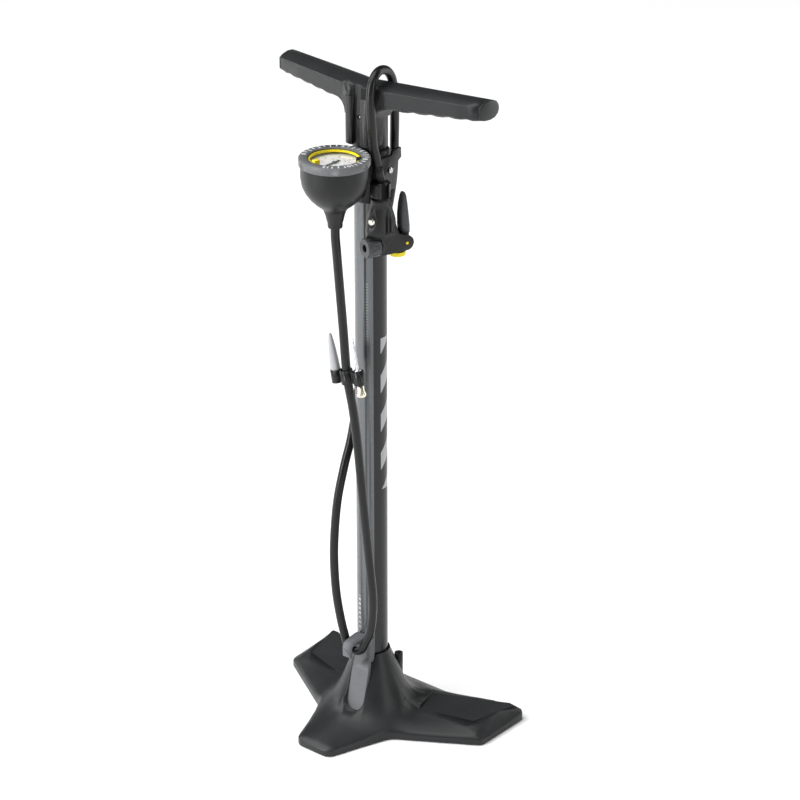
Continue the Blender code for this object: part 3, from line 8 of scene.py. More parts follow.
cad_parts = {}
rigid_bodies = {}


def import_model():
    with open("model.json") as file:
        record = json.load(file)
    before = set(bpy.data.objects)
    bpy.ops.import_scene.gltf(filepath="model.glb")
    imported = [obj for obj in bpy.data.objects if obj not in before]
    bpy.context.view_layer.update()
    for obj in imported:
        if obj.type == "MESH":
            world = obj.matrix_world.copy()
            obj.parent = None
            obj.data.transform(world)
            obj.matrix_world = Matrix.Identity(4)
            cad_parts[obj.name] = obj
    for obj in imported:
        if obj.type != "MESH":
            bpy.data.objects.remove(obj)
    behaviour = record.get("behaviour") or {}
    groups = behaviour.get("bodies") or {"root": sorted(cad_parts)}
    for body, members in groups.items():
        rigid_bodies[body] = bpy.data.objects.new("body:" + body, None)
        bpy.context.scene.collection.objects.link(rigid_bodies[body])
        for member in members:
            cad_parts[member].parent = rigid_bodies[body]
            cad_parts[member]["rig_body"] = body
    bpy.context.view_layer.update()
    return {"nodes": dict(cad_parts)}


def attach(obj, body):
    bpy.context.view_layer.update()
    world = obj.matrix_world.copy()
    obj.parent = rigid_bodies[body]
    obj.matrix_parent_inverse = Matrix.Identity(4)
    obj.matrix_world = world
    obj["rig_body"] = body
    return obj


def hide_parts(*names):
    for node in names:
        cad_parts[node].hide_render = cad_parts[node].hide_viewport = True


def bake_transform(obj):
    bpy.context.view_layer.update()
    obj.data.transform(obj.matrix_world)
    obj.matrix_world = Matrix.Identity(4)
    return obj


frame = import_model()
nodes = frame["nodes"]
print("frame loaded,", len(nodes), "CAD nodes")

# Camera
view = {
    "place": (1.5661, -1.8875, 1.5239),
    "target": (0.0229, 0.0186, 0.3768),
    "lens": 118.0,
    "sensor": 36.0,
    "seen": (0.05, 60.0),   # nearest and farthest distance
}


def makeCamera():
    data = bpy.data.cameras.new("studioCamera")
    data.lens = view["lens"]
    data.sensor_width = view["sensor"]
    data.clip_start, data.clip_end = view["seen"]
    camera = bpy.data.objects.new("studioCamera", data)
    bpy.context.scene.collection.objects.link(camera)
    camera.location = view["place"]
    away = Vector(view["place"]) - Vector(view["target"])
    camera.rotation_mode = "QUATERNION"
    camera.rotation_quaternion = away.to_track_quat("Z", "Y")
    bpy.context.scene.camera = camera


makeCamera()
print("camera placed")


# The nodes of one finish, added one after another.
class Graph:

    def __init__(self, name):
        self.material = bpy.data.materials.new(name)
        self.material.use_nodes = True
        self.tree = self.material.node_tree
        self.shader = self.tree.nodes["Principled BSDF"]
        self.coords = self.add("ShaderNodeTexCoord").outputs["Object"]

    def add(self, kind, **settings):
        node = self.tree.nodes.new(kind)
        for key, value in settings.items():
            setattr(node, key, value)
        return node

    def link(self, source, target):
        self.tree.links.new(source, target)

    def feed(self, socket, value):
        if isinstance(value, bpy.types.NodeSocket):
            self.link(value, socket)
        elif value is not None:
            socket.default_value = value

    def math(self, operation, first, second=None):
        node = self.add("ShaderNodeMath", operation=operation)
        for socket, value in zip(node.inputs, (first, second)):
            self.feed(socket, value)
        return node.outputs[0]

    def noise(self, scale, detail=3.0, roughness=0.5, stretch=None):
        node = self.add("ShaderNodeTexNoise")
        node.inputs["Scale"].default_value = scale
        node.inputs["Detail"].default_value = detail
        node.inputs["Roughness"].default_value = roughness
        self.link(self.stretched(stretch), node.inputs["Vector"])
        return node.outputs["Fac"]

    def cells(self, scale):
        node = self.add("ShaderNodeTexVoronoi", feature="F1")
        node.inputs["Scale"].default_value = scale
        self.link(self.coords, node.inputs["Vector"])
        return node.outputs["Distance"]

    def stretched(self, stretch):
        if stretch is None:
            return self.coords
        node = self.add("ShaderNodeMapping")
        node.inputs["Scale"].default_value = stretch
        self.link(self.coords, node.inputs["Vector"])
        return node.outputs["Vector"]

    def ramp(self, value, low, high, fromLow=0.0, fromHigh=1.0):
        node = self.add("ShaderNodeMapRange")
        limits = {"From Min": fromLow, "From Max": fromHigh, "To Min": low, "To Max": high}
        for name, number in limits.items():
            node.inputs[name].default_value = number
        self.link(value, node.inputs["Value"])
        return node.outputs["Result"]

    def mix(self, share, first, second):
        node = self.add("ShaderNodeMix", data_type="RGBA")
        self.feed(node.inputs["Factor"], share)
        for socket, colour in ((node.inputs[6], first), (node.inputs[7], second)):
            if isinstance(colour, bpy.types.NodeSocket):
                self.link(colour, socket)
            else:
                socket.default_value = (*colour, 1.0)
        return node.outputs[2]

    def bump(self, height, depth, strength=1.0, after=None):
        node = self.add("ShaderNodeBump")
        node.inputs["Strength"].default_value = strength
        node.inputs["Distance"].default_value = depth
        self.link(height, node.inputs["Height"])
        if after is not None:
            self.link(after, node.inputs["Normal"])
        return node.outputs["Normal"]

    def softEdge(self, radius):
        node = self.add("ShaderNodeBevel", samples=4)
        node.inputs["Radius"].default_value = radius
        return node.outputs["Normal"]

    # 1 where an edge is near, 0 on open faces
    def edgeShare(self, radius):
        soft = self.softEdge(radius)
        plain = self.add("ShaderNodeNewGeometry").outputs["Normal"]
        dot = self.add("ShaderNodeVectorMath", operation="DOT_PRODUCT")
        self.link(soft, dot.inputs[0])
        self.link(plain, dot.inputs[1])
        return self.ramp(dot.outputs["Value"], 1.0, 0.0, 0.80, 0.995)

    def set(self, **values):
        names = {
            "colour": "Base Color", "roughness": "Roughness", "metallic": "Metallic", "normal": "Normal",
            "coat": "Coat Weight", "coatRoughness": "Coat Roughness",
            "specular": "Specular IOR Level", "transmission": "Transmission Weight", "ior": "IOR",
            "alpha": "Alpha",
        }
        for key, value in values.items():
            if key == "colour" and not isinstance(value, bpy.types.NodeSocket):
                value = (*value, 1.0)
            self.feed(self.shader.inputs[names[key]], value)
        return self.material


def shaded(colour, factor):
    return tuple(min(1.0, c * factor) for c in colour)


# Moulded plastics: colour, grains a metre, depth of the grain, roughness, colour of the painted highlight
# along an edge
plastics = {
    "charcoalMoulding": ((0.0155, 0.0163, 0.0171), 1500.0, 0.00010, 0.36, (0.20, 0.205, 0.21)),
    "blackMoulding": ((0.0085, 0.0088, 0.0093), 1700.0, 0.00005, 0.36, (0.075, 0.076, 0.078)),
    "clipMoulding": ((0.0060, 0.0062, 0.0066), 1900.0, 0.00003, 0.28, (0.060, 0.061, 0.062)),
    # The dock is black moulding with a brighter painted highlight along its edges
    "dockMoulding": ((0.0085, 0.0088, 0.0093), 1700.0, 0.00004, 0.34, (0.20, 0.20, 0.205)),
    "leverMoulding": ((0.050, 0.053, 0.056), 1600.0, 0.00004, 0.40, (0.15, 0.155, 0.16)),
    "bezelMoulding": ((0.125, 0.130, 0.135), 1600.0, 0.00004, 0.42, (0.30, 0.305, 0.31)),
    "hookMoulding": ((0.115, 0.120, 0.126), 1500.0, 0.00005, 0.42, (0.30, 0.305, 0.31)),
    "nozzleMoulding": ((0.36, 0.365, 0.375), 1600.0, 0.00003, 0.34, (0.48, 0.485, 0.49)),
    "yellowMoulding": ((0.80, 0.64, 0.012), 1400.0, 0.00002, 0.35, (0.88, 0.76, 0.06)),
}


moulding = {
    "edge": 0.0006,          # how far in from an edge the painted highlight reaches
    "edgeHighlight": 0.45,
    "round": 0.0005,         # softness of an edge's shading
    "specular": 0.30,
}


def mouldedPlastic(name):
    colour, grain, depth, roughness, edgeHighlightColour = plastics[name]
    graph = Graph(name)
    patches = graph.noise(18.0, 4.0, 0.6)
    fine = graph.noise(grain, 2.0, 0.65)
    speckle = graph.noise(grain * 0.45, 3.0, 0.6)
    tone = graph.mix(graph.ramp(patches, 0.0, 1.0, 0.3, 0.7), shaded(colour, 0.90), shaded(colour, 1.10))
    tone = graph.mix(graph.ramp(speckle, 0.0, 0.35, 0.45, 0.75), tone, shaded(colour, 1.35))
    # Painted highlight: near an edge the colour is lightened towards the edge colour, standing in for light
    # caught along the edges
    edgeHighlightShare = graph.math("MULTIPLY", graph.edgeShare(moulding["edge"]), moulding["edgeHighlight"])
    tone = graph.mix(edgeHighlightShare, tone, edgeHighlightColour)
    normal = graph.bump(fine, depth, 0.9, graph.softEdge(moulding["round"]))
    blend = graph.math("MULTIPLY", graph.math("ADD", patches, speckle), 0.5)
    rough = graph.ramp(blend, roughness - 0.06, roughness + 0.08, 0.3, 0.7)
    return graph.set(colour=tone, roughness=rough, normal=normal, specular=moulding["specular"])


# Pads let into the wings: pebbled rubber
tread = {
    "colour": (0.0170, 0.0185, 0.0192),
    "pebbles": 900.0,             # a metre
    "depth": 0.00022,
    "roughness": (0.66, 0.80),
    "round": 0.0004,
    "specular": 0.20,
}


def treadRubber():
    graph = Graph("treadRubber")
    pebble = graph.cells(tread["pebbles"])
    patches = graph.noise(30.0, 4.0)
    # Painted light and shade: the pebbles' raised tops are paler and the hollows between them darker
    pale, dark = shaded(tread["colour"], 1.35), shaded(tread["colour"], 0.75)
    tone = graph.mix(graph.ramp(pebble, 0.0, 1.0, 0.0, 0.7), pale, dark)
    tone = graph.mix(graph.ramp(patches, 0.0, 0.4, 0.4, 0.7), tone, shaded(tread["colour"], 1.5))
    raised = graph.math("SUBTRACT", 1.0, pebble)
    normal = graph.bump(raised, tread["depth"], 0.8, graph.softEdge(tread["round"]))
    rough = graph.ramp(patches, *tread["roughness"], 0.3, 0.7)
    return graph.set(colour=tone, roughness=rough, normal=normal, specular=tread["specular"])


# Soft black rubber: hose, feet, washers
rubber = {
    "colour": (0.0048, 0.0050, 0.0053),
    "roughness": 0.30,
    "grain": 2200.0,              # a metre
    "depth": 0.00002,
    "specular": 0.32,
}


def blackRubber():
    graph = Graph("blackRubber")
    bloom = graph.noise(26.0, 5.0, 0.6, (1.0, 1.0, 0.5))
    fine = graph.noise(rubber["grain"], 2.0)
    tone = graph.mix(graph.ramp(bloom, 0.0, 0.6, 0.40, 0.75), rubber["colour"], shaded(rubber["colour"], 2.4))
    rough = graph.ramp(bloom, rubber["roughness"] - 0.06, rubber["roughness"] + 0.12, 0.3, 0.7)
    normal = graph.bump(fine, rubber["depth"], 0.7)
    return graph.set(colour=tone, roughness=rough, normal=normal, specular=rubber["specular"])


# The barrel's gloss paint in two tones, with plain marks. Angles go round the barrel from +X, in
# radians. A row of marks has its angles, its heights, its pitch, the share that is marked and how strong.
paint = {
    "radius": 0.0165,
    "grey": (0.125, 0.132, 0.138),
    "black": (0.0070, 0.0073, 0.0077),
    "white": (0.40, 0.41, 0.42),
    "glint": (0.45, 0.46, 0.47),
    "greySide": (-3.30, -0.74),
    "wrap": 2.6,                  # past this angle the grey side goes on from -pi
    "hoseReflection": (-1.30, -1.16),       # a dark line down the grey side: a painted reflection of the hose
    "slant": -1.3,                # rise of the bars for each metre round
    "bars": ((-0.26, 1.05), (0.280, 0.452), 0.044, 0.46, 0.92),
    "ticks": ((-1.20, -1.05), (0.452, 0.515), 0.0032, 0.45, 0.30),
    "dashes": ((-1.96, -1.74), (0.110, 0.152), 0.0056, 0.55, 0.85),
    "metallic": 0.45,
    "specular": 0.32,
}


def between(graph, value, low, high):
    above = graph.math("GREATER_THAN", value, low)
    below = graph.math("LESS_THAN", value, high)
    return graph.math("MULTIPLY", above, below)


# 1 on a mark of the row, 0 between
def marked(graph, angle, z, row, height):
    angles, heights, pitch, share, _ = paint[row]
    band = graph.math("FRACT", graph.math("DIVIDE", height, pitch))
    marks = graph.math("MULTIPLY", graph.math("LESS_THAN", band, share), between(graph, z, *heights))
    return graph.math("MULTIPLY", marks, between(graph, angle, *angles))


def barrelPaint():
    graph = Graph("barrelPaint")
    split = graph.add("ShaderNodeSeparateXYZ")
    graph.link(graph.coords, split.inputs[0])
    x, y, z = split.outputs
    angle = graph.math("ARCTAN2", y, x)
    past = graph.math("MULTIPLY", graph.math("GREATER_THAN", angle, paint["wrap"]), 2 * math.pi)
    isGrey = between(graph, graph.math("SUBTRACT", angle, past), *paint["greySide"])
    slope = graph.math("ADD", z, graph.math("MULTIPLY", angle, paint["slant"] * paint["radius"]))
    rows = {
        "ticks": marked(graph, angle, z, "ticks", z),
        "dashes": marked(graph, angle, z, "dashes", z),
        "bars": marked(graph, angle, z, "bars", slope),
    }
    haze = graph.noise(40.0, 4.0, 0.6, (1.0, 1.0, 0.15))
    grey = graph.mix(graph.ramp(haze, 0.0, 1.0, 0.35, 0.7), paint["grey"], shaded(paint["grey"], 0.86))
    # Painted reflection: the hose's reflection darkens a line down the grey side
    grey = graph.mix(graph.math("MULTIPLY", between(graph, angle, *paint["hoseReflection"]), 0.6), grey, paint["black"])
    tone = graph.mix(isGrey, paint["black"], grey)
    flakes = graph.math("LESS_THAN", graph.cells(2600.0), 0.16)
    glints = graph.math("MULTIPLY", graph.math("MULTIPLY", flakes, isGrey), 0.1)
    tone = graph.mix(glints, tone, paint["glint"])
    for row, marks in rows.items():
        tone = graph.mix(graph.math("MULTIPLY", marks, paint[row][4]), tone, paint["white"])
    peel = graph.noise(260.0, 2.0, 0.5)
    bare = graph.math("SUBTRACT", 1.0, rows["dashes"])
    metallic = graph.math("MULTIPLY", graph.math("MULTIPLY", isGrey, bare), paint["metallic"])
    return graph.set(
        colour=tone, roughness=graph.ramp(haze, 0.22, 0.32, 0.3, 0.7), metallic=metallic,
        normal=graph.bump(peel, 0.00003, 0.5), coat=0.15, coatRoughness=0.06, specular=paint["specular"],
    )


# Metals: colour, roughness, brush lines a metre, depth of the lines
metals = {
    "chromedSteel": ((0.64, 0.65, 0.67), 0.20, 900.0, 0.00001),
    "turnedAlloy": ((0.56, 0.57, 0.58), 0.32, 1400.0, 0.00002),
    "turnedBrass": ((0.82, 0.70, 0.42), 0.26, 1200.0, 0.00002),
    "nickelledBrass": ((0.86, 0.81, 0.66), 0.28, 1200.0, 0.00002),
    "buttonMetal": ((0.84, 0.82, 0.74), 0.36, 1500.0, 0.00001),
}


def turnedMetal(name):
    colour, roughness, lines, depth = metals[name]
    graph = Graph(name)
    rings = graph.noise(lines, 2.0, 0.5, (0.05, 0.05, 1.0))
    smudge = graph.noise(60.0, 4.0, 0.6)
    tone = graph.mix(graph.ramp(smudge, 0.0, 0.5, 0.35, 0.75), colour, shaded(colour, 0.72))
    rough = graph.ramp(smudge, roughness - 0.05, roughness + 0.12, 0.3, 0.7)
    normal = graph.bump(rings, depth, 0.6, graph.softEdge(0.0003))
    return graph.set(colour=tone, roughness=rough, metallic=1.0, normal=normal)


card = {"colour": (0.80, 0.81, 0.81), "fleck": (0.74, 0.75, 0.75), "roughness": (0.42, 0.52)}


def dialCard():
    graph = Graph("dialCard")
    fleck = graph.noise(900.0, 3.0)
    tone = graph.mix(graph.ramp(fleck, 0.0, 1.0, 0.35, 0.7), card["colour"], card["fleck"])
    rough = graph.ramp(fleck, *card["roughness"])
    return graph.set(colour=tone, roughness=rough, normal=graph.bump(fleck, 0.00001, 0.4))


inks = {"whiteInk": (0.78, 0.79, 0.79), "blackInk": (0.02, 0.02, 0.022), "redInk": (0.55, 0.03, 0.02)}


def printedInk(name):
    graph = Graph(name)
    blot = graph.noise(1500.0, 3.0)
    tone = graph.mix(graph.ramp(blot, 0.0, 1.0, 0.35, 0.7), inks[name], shaded(inks[name], 0.86))
    return graph.set(colour=tone, roughness=graph.ramp(blot, 0.45, 0.6))


# The window over the dial
lens = {"colour": (0.97, 0.98, 0.98), "roughness": (0.02, 0.07), "ior": 1.46, "alpha": 0.14}


def clearLens():
    graph = Graph("clearLens")
    smear = graph.noise(120.0, 4.0)
    rough = graph.ramp(smear, *lens["roughness"])
    return graph.set(
        colour=lens["colour"], roughness=rough, transmission=1.0, ior=lens["ior"], alpha=lens["alpha"],
    )


looks = {name: mouldedPlastic(name) for name in plastics}
looks.update({name: turnedMetal(name) for name in metals})
looks["treadRubber"] = treadRubber()
looks["blackRubber"] = blackRubber()
looks["barrelPaint"] = barrelPaint()
looks["dialCard"] = dialCard()
looks.update({name: printedInk(name) for name in inks})
looks["clearLens"] = clearLens()
print("finishes made:", len(looks))

gaugeCentre = (0.0, -0.0545)

# Hose
hose = {
    "radius": 0.0046,
    "sides": 28,
    "step": 0.0035,                   # between the rings of the tube
    "gap": 0.0003,                    # to the ferrule and to the boot
    "chuck": (0.0264, -0.0163),       # axis of the chuck's neck
    "neckTop": 0.6268,
    "sunk": 0.0006,                   # the ferrule's foot below the neck's top
    "lean": (-0.130, -0.106, 1.0),
    "ferrule": 0.0172,
    "lead": 0.0080,                   # straight stretch above the ferrule
    "bootFoot": 0.5846,
    "crispEnds": 50.0,
    # where the stretch that follows the handle starts and ends
    "held": (0.02, 0.0, 0.640),
    "lifted": (0.02, 0.0, 0.725),
}


# From the chuck's ferrule over the handle, round the hook and up to the gauge
def hoseRoute():
    lean = Vector(hose["lean"]).normalized()
    foot = Vector((*hose["chuck"], hose["neckTop"] - hose["sunk"]))
    start = foot + lean * (hose["ferrule"] + hose["gap"])
    lead = start + lean * hose["lead"]
    end = (*gaugeCentre, hose["bootFoot"] - hose["gap"])
    return [
        tuple(start), tuple(lead),
        (0.0216, -0.0215, 0.6650), (0.0221, -0.0235, 0.6800), (0.0215, -0.0246, 0.6980),
        (0.0209, -0.0242, 0.7150), (0.0203, -0.0210, 0.7275), (0.0190, -0.0140, 0.7345),
        (0.0175, -0.0040, 0.7365), (0.0158, 0.0070, 0.7328), (0.0141, 0.0165, 0.7228),
        (0.0124, 0.0218, 0.7075), (0.0100, 0.0262, 0.6840), (0.0062, 0.0305, 0.6580),
        (0.0030, 0.0335, 0.6300), (-0.0015, 0.0350, 0.5990), (-0.0095, 0.0320, 0.5500),
        (-0.0185, 0.0255, 0.4850), (-0.0245, 0.0145, 0.4050), (-0.0250, -0.0010, 0.3350),
        (-0.0240, -0.0160, 0.3000), (-0.0246, -0.0265, 0.2650), (-0.0246, -0.0320, 0.2290),
        (-0.0242, -0.0340, 0.1950), (-0.0219, -0.0340, 0.1590), (-0.0165, -0.0340, 0.1300),
        (-0.0116, -0.0336, 0.1112), (-0.0067, -0.0334, 0.0984), (0.0025, -0.0333, 0.0947),
        (0.0117, -0.0334, 0.0984), (0.0178, -0.0336, 0.1104), (0.0258, -0.0342, 0.1290),
        (0.0308, -0.0363, 0.1650), (0.0282, -0.0390, 0.2150), (0.0250, -0.0415, 0.2620),
        (0.0216, -0.0435, 0.3080), (0.0184, -0.0455, 0.3535), (0.0146, -0.0475, 0.3900),
        (0.0094, -0.0496, 0.4240), (0.0068, -0.0518, 0.4750), (0.0045, -0.0538, 0.5190),
        (0.0018, -0.0545, 0.5550), (*gaugeCentre, 0.5740), end,
    ]


# Points about a step apart on the smooth curve through the route
def smoothLine(route, step):
    points = [Vector(p) for p in route]
    points = [2 * points[0] - points[1]] + points + [2 * points[-1] - points[-2]]
    line = []
    for a, b, c, d in zip(points, points[1:], points[2:], points[3:]):
        count = max(2, round((c - b).length / step))
        for i in range(count):
            t = i / count
            line.append(0.5 * (2 * b + (c - a) * t + (2 * a - 5 * b + 4 * c - d) * t * t
                               + (3 * b - a - 3 * c + d) * t ** 3))
    line.append(points[-2])
    return line


# A round tube along a line, with closed ends and no twist
def tubeMesh(name, line, radius, sides):
    count = len(line)
    ways = [(line[min(i + 1, count - 1)] - line[max(i - 1, 0)]).normalized() for i in range(count)]
    side = ways[0].orthogonal().normalized()
    rows = []
    for i, (point, way) in enumerate(zip(line, ways)):
        side = (side - way * side.dot(way)).normalized()
        up = way.cross(side)
        rows.append([point + (side * math.cos(t) + up * math.sin(t)) * radius
                     for t in (2 * math.pi * k / sides for k in range(sides))])
    mesh = bpy.data.meshes.new(name)
    faces = []
    for i in range(count - 1):
        for k in range(sides):
            n = (k + 1) % sides
            faces.append((i * sides + k, i * sides + n, (i + 1) * sides + n, (i + 1) * sides + k))
    faces.append(tuple(reversed(range(sides))))
    faces.append(tuple(range((count - 1) * sides, count * sides)))
    mesh.from_pydata([p for row in rows for p in row], [], faces)
    mesh.shade_smooth()
    mesh.set_sharp_from_angle(angle=math.radians(hose["crispEnds"]))
    return mesh


def makeHose():
    line = smoothLine(hoseRoute(), hose["step"])
    piece = bpy.data.objects.new("rubberHose", tubeMesh("rubberHose", line, hose["radius"], hose["sides"]))
    bpy.context.scene.collection.objects.link(piece)
    piece.data.materials.append(looks["blackRubber"])
    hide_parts("hose")
    return piece


hosePiece = makeHose()
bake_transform(hosePiece)


# Pieces that keep their CAD shape, with welded meshes and smooth shading. Each has its finish, its
# material slot and the angle in degrees above which an edge stays crisp.
finished = {
    "base": ("charcoalMoulding", "charcoal_plastic", 28),
    "handle": ("charcoalMoulding", "charcoal_plastic", 30),
    "handle_cap_left": ("charcoalMoulding", "charcoal_plastic", 30),
    "handle_cap_right": ("charcoalMoulding", "charcoal_plastic", 30),
    "tread_left": ("treadRubber", "tread_rubber", 30),
    "tread_right": ("treadRubber", "tread_rubber", 30),
    "foot_left": ("blackRubber", "black_rubber", 30),
    "foot_right": ("blackRubber", "black_rubber", 30),
    "foot_front": ("blackRubber", "black_rubber", 30),
    "barrel_bolt": ("chromedSteel", "chromed_steel", 30),
    "hose_hook": ("hookMoulding", "grey_plastic", 30),
    "outer_barrel": ("barrelPaint", "barrel_paint", 30),
    "barrel_head": ("blackMoulding", "black_plastic", 32),
    "rod_wiper": ("blackRubber", "black_rubber", 30),
    "piston_rod": ("chromedSteel", "chromed_steel", 30),
    "handle_pin": ("chromedSteel", "chromed_steel", 30),
    "gauge_housing": ("blackMoulding", "black_plastic", 38),
    "hose_boot": ("blackMoulding", "black_plastic", 30),
    "gauge_bezel": ("bezelMoulding", "grey_plastic", 30),
    "pressure_marker": ("yellowMoulding", "yellow_plastic", 30),
    "gauge_dial": ("dialCard", "dial_white", 30),
    "gauge_needle": ("blackMoulding", "black_plastic", 30),
    "gauge_window": ("clearLens", "clear_lens", 30),
    "accessory_clip": ("clipMoulding", "black_plastic", 32),
    "cone_nozzle": ("nozzleMoulding", "grey_plastic", 40),
    "ball_needle": ("chromedSteel", "chromed_steel", 40),
    "needle_base": ("nickelledBrass", "brass", 30),
    "chuck_dock": ("dockMoulding", "black_plastic", 32),
    "dock_screw": ("chromedSteel", "chromed_steel", 30),
    "chuck_body": ("blackMoulding", "black_plastic", 32),
    "hose_ferrule": ("blackMoulding", "black_plastic", 30),
    "port_collar": ("leverMoulding", "grey_plastic", 30),
    "port_washer": ("blackRubber", "black_rubber", 30),
    "lower_collar": ("yellowMoulding", "yellow_plastic", 30),
    "lower_washer": ("blackRubber", "black_rubber", 30),
    "chuck_lever": ("leverMoulding", "grey_plastic", 40),
    "lever_pin": ("yellowMoulding", "yellow_plastic", 30),
    "bleed_button": ("buttonMetal", "chromed_steel", 40),
    "plunger": ("turnedBrass", "brass", 30),
}
# Pieces hidden inside, which only change their finish
hidden = {
    "inner_cylinder": "turnedAlloy", "foot_plug": "turnedAlloy", "valve_seat": "turnedBrass",
    "rod_bushing": "turnedBrass", "gauge_movement": "turnedBrass", "gauge_socket": "turnedBrass",
    "bourdon_tube": "turnedBrass", "piston": "blackMoulding", "piston_seal": "blackRubber",
    "piston_nut": "chromedSteel", "top_bumper": "blackRubber", "check_valve": "blackRubber",
    "check_spring": "chromedSteel",
}


weld = {"join": 0.000012, "sliver": 0.000005}


def finishNode(node):
    look, slotName, angle = finished[node]
    mesh = bpy.data.meshes.new(node + "_piece")
    shape = bmesh.new()
    shape.from_mesh(nodes[node].data)
    bmesh.ops.remove_doubles(shape, verts=shape.verts, dist=weld["join"])
    bmesh.ops.dissolve_degenerate(shape, edges=shape.edges, dist=weld["sliver"])
    bmesh.ops.recalc_face_normals(shape, faces=shape.faces)
    for face in shape.faces:
        face.smooth = True
        face.material_index = 0
    shape.to_mesh(mesh)
    shape.free()
    mesh.set_sharp_from_angle(angle=math.radians(angle))
    mesh.materials.clear()
    mesh.materials.append(looks[look])
    piece = bpy.data.objects.new(node + "_piece", mesh)
    bpy.context.scene.collection.objects.link(piece)
    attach(piece, nodes[node]["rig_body"])
    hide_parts(node)
    return piece


pieces = {node: finishNode(node) for node in finished}
for node, look in hidden.items():
    for slot in nodes[node].material_slots:
        slot.material = looks[look]
print("finished pieces:", len(pieces), "hidden pieces:", len(hidden))

# Gauge markings, raised a little from the ring and the dial. Angles are in degrees from +X.
gauge = {
    "bezelTop": 0.6580,
    "bezel": (0.0274, 0.0342),    # inner and outer radius of the ring's face
    "dialTop": 0.6512,
    "dialR": 0.0236,
    "start": 205.0,               # where zero is
    "sweep": 270.0,
    "bars": [0, 2, 4, 6, 8, 10, 12],
    "psi": [0, 40, 80, 120, 160],
    "sunk": 0.0001,               # how far the marks' feet are in the face
    "ringInk": 0.00012,           # how far they stand out
    "dialInk": 0.00008,
    "figures": {"ring": 0.0072, "dial": 0.0038, "inner": 0.0024},
    "drop": {"dial": 0.0062, "inner": 0.0120},    # from the dial's edge to the figures' middles
    "ringBar": 0.0011,            # widths of the marks
    "hatchBar": 0.0012,
    "dialBar": 0.00034,
    "innerBar": 0.00026,
    "ticks": (60, 0.0034, 0.0024, 0.0015),    # how many, and the long, middle and short ones
    "innerTicks": (40, 0.0098, 0.0090),       # how many, and their ends from the dial's edge
    "hatching": (118.0, 4.2, 9),              # first angle, pitch, how many
    "stop": (28.0, 0.0220, 0.0266, 0.0044, 0.6545, 0.0006),   # angle, radii, width, foot, rise
}


def dialAngle(share):
    return gauge["start"] - gauge["sweep"] * share


def addPiece(name, shape, look):
    mesh = bpy.data.meshes.new(name)
    bmesh.ops.recalc_face_normals(shape, faces=shape.faces)
    shape.to_mesh(mesh)
    shape.free()
    mesh.materials.append(looks[look])
    piece = bpy.data.objects.new(name, mesh)
    bpy.context.scene.collection.objects.link(piece)
    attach(piece, "frame")


# One radial mark, as a thin raised block
def slab(shape, angle, inner, outer, width, low, high):
    way = Vector((math.cos(math.radians(angle)), math.sin(math.radians(angle))))
    side = Vector((-way.y, way.x))
    centre = Vector(gaugeCentre)
    corners = []
    for radius in (inner, outer):
        for sign in (-1, 1):
            corners.append(centre + way * radius + side * sign * width / 2)
    verts = [shape.verts.new((c.x, c.y, z)) for z in (low, high) for c in corners]
    for quad in ((0, 1, 3, 2), (4, 6, 7, 5), (0, 2, 6, 4), (1, 5, 7, 3), (0, 4, 5, 1), (2, 3, 7, 6)):
        shape.faces.new([verts[i] for i in quad])


# A number with its top towards the gauge's edge
def numeral(shape, text, angle, radius, size, low, high):
    curve = bpy.data.curves.new("numeral", "FONT")
    curve.body = str(text)
    curve.size = size
    curve.align_x = "CENTER"
    curve.align_y = "CENTER"
    curve.extrude = (high - low) / 2
    curve.resolution_u = 3
    curve.offset = size * 0.012
    letter = bpy.data.objects.new("numeral", curve)
    bpy.context.scene.collection.objects.link(letter)
    bpy.context.view_layer.update()
    flat = bpy.data.meshes.new_from_object(letter.evaluated_get(bpy.context.evaluated_depsgraph_get()))
    x, y = gaugeCentre
    away = math.radians(angle)
    spot = Vector((x + radius * math.cos(away), y + radius * math.sin(away), (low + high) / 2))
    flat.transform(Matrix.Translation(spot) @ Matrix.Rotation(math.radians(angle - 90.0), 4, "Z"))
    shape.from_mesh(flat)
    bpy.data.objects.remove(letter, do_unlink=True)
    bpy.data.meshes.remove(flat)


# A row of numbers along the scale
def figures(shape, values, radius, size, low, high):
    for k, value in enumerate(values):
        numeral(shape, value, dialAngle(k / (len(values) - 1)), radius, size, low, high)


def bezelMarks():
    low, high = gauge["bezelTop"] - gauge["sunk"], gauge["bezelTop"] + gauge["ringInk"]
    inner, outer = gauge["bezel"]
    shape = bmesh.new()
    figures(shape, gauge["bars"], (inner + outer) / 2, gauge["figures"]["ring"], low, high)
    steps = (len(gauge["bars"]) - 1) * 4
    for k in range(steps + 1):
        if k % 4:
            start = inner + (0.0006 if k % 2 == 0 else 0.0022)
            slab(shape, dialAngle(k / steps), start, outer - 0.0004, gauge["ringBar"], low, high)
    addPiece("bezel_numerals", shape, "whiteInk")
    hatch = bmesh.new()
    first, pitch, count = gauge["hatching"]
    top = gauge["bezelTop"] + gauge["dialInk"]
    for k in range(count):
        slab(hatch, first + pitch * k, inner + 0.0004, outer - 0.0002, gauge["hatchBar"], low, top)
    addPiece("bezel_hatching", hatch, "blackInk")


def dialMarks():
    low, high = gauge["dialTop"] - gauge["sunk"], gauge["dialTop"] + gauge["dialInk"]
    edge = gauge["dialR"]
    ink = bmesh.new()
    steps, long, middle, short = gauge["ticks"]
    for k in range(steps + 1):
        length = long if k % 10 == 0 else (middle if k % 5 == 0 else short)
        slab(ink, dialAngle(k / steps), edge - length, edge, gauge["dialBar"], low, high)
    figures(ink, gauge["bars"], edge - gauge["drop"]["dial"], gauge["figures"]["dial"], low, high)
    addPiece("dial_scale", ink, "blackInk")
    red = bmesh.new()
    figures(red, gauge["psi"], edge - gauge["drop"]["inner"], gauge["figures"]["inner"], low, high)
    steps, inner, outer = gauge["innerTicks"]
    for k in range(steps + 1):
        slab(red, dialAngle(k / steps), edge - inner, edge - outer, gauge["innerBar"], low, high)
    addPiece("dial_inner_scale", red, "redInk")


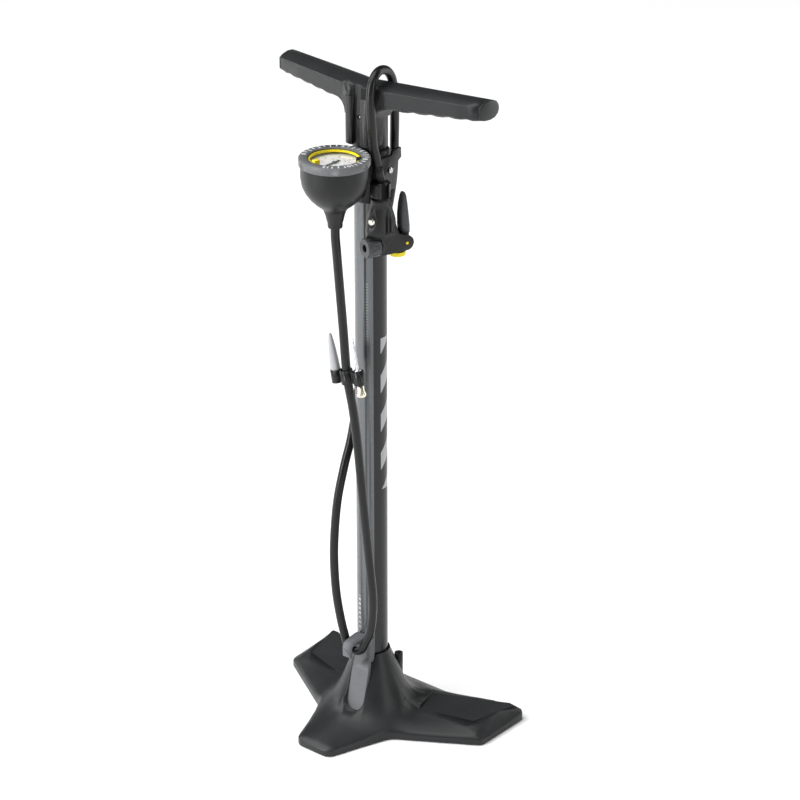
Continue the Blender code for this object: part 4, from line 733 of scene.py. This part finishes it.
# The small block on the ring's edge that the marker's nose stops at
def ringStop():
    angle, inner, outer, width, foot, rise = gauge["stop"]
    shape = bmesh.new()
    slab(shape, angle, inner, outer, width, foot, gauge["bezelTop"] + rise)
    addPiece("bezel_stop", shape, "blackMoulding")


bezelMarks()
dialMarks()
ringStop()
print("gauge marked")


# Floor and light
studio = {
    "floor": (0.90, 0.90, 0.90),
    "reach": 30.0,                # from the middle to the floor's edge
    "world": 0.10,
    "sky": (3.1, 62.0, (-0.25, -0.35, 1.0)),     # strength, spread in degrees, direction it comes from
    "aim": (0.0, 0.0, 0.36),
    # upright lamps: place, width, height, power
    "strips": {
        "leftStrip": ((-0.95, -2.35, 1.25), 0.34, 2.1, 62.0),
        "rightStrip": ((2.55, -0.10, 1.15), 0.30, 2.1, 16.0),
        "rimStrip": ((1.15, 2.00, 1.20), 0.40, 2.2, 16.0),
        "leftRimStrip": ((-2.3, -0.4, 1.20), 0.40, 2.2, 18.0),
    },
}


def addLamp(name, kind, power, way):
    data = bpy.data.lights.new(name, kind)
    data.energy = power
    lamp = bpy.data.objects.new(name, data)
    bpy.context.scene.collection.objects.link(lamp)
    lamp.rotation_mode = "QUATERNION"
    lamp.rotation_quaternion = Vector(way).to_track_quat("Z", "Y")
    return lamp


def makeFloor():
    graph = Graph("studioFloor")
    cloud = graph.noise(1.5, 2.0)
    tone = graph.mix(cloud, shaded(studio["floor"], 0.985), studio["floor"])
    look = graph.set(colour=tone, roughness=0.75, specular=0.2)
    shape = bmesh.new()
    bmesh.ops.create_grid(shape, x_segments=2, y_segments=2, size=studio["reach"])
    mesh = bpy.data.meshes.new("studioFloor")
    shape.to_mesh(mesh)
    shape.free()
    mesh.materials.append(look)
    floor = bpy.data.objects.new("studioFloor", mesh)
    bpy.context.scene.collection.objects.link(floor)


def makeLight():
    world = bpy.data.worlds.new("studioWorld")
    world.use_nodes = True
    background = world.node_tree.nodes["Background"]
    background.inputs["Color"].default_value = (1.0, 1.0, 1.0, 1.0)
    background.inputs["Strength"].default_value = studio["world"]
    bpy.context.scene.world = world
    strength, spread, way = studio["sky"]
    addLamp("skyLamp", "SUN", strength, way).data.angle = math.radians(spread)
    for name, (at, wide, tall, power) in studio["strips"].items():
        lamp = addLamp(name, "AREA", power, Vector(at) - Vector(studio["aim"]))
        lamp.location = at
        lamp.data.shape = "RECTANGLE"
        lamp.data.size = wide
        lamp.data.size_y = tall
    bpy.context.scene.view_settings.view_transform = "Standard"


makeFloor()
makeLight()
print("studio lit")
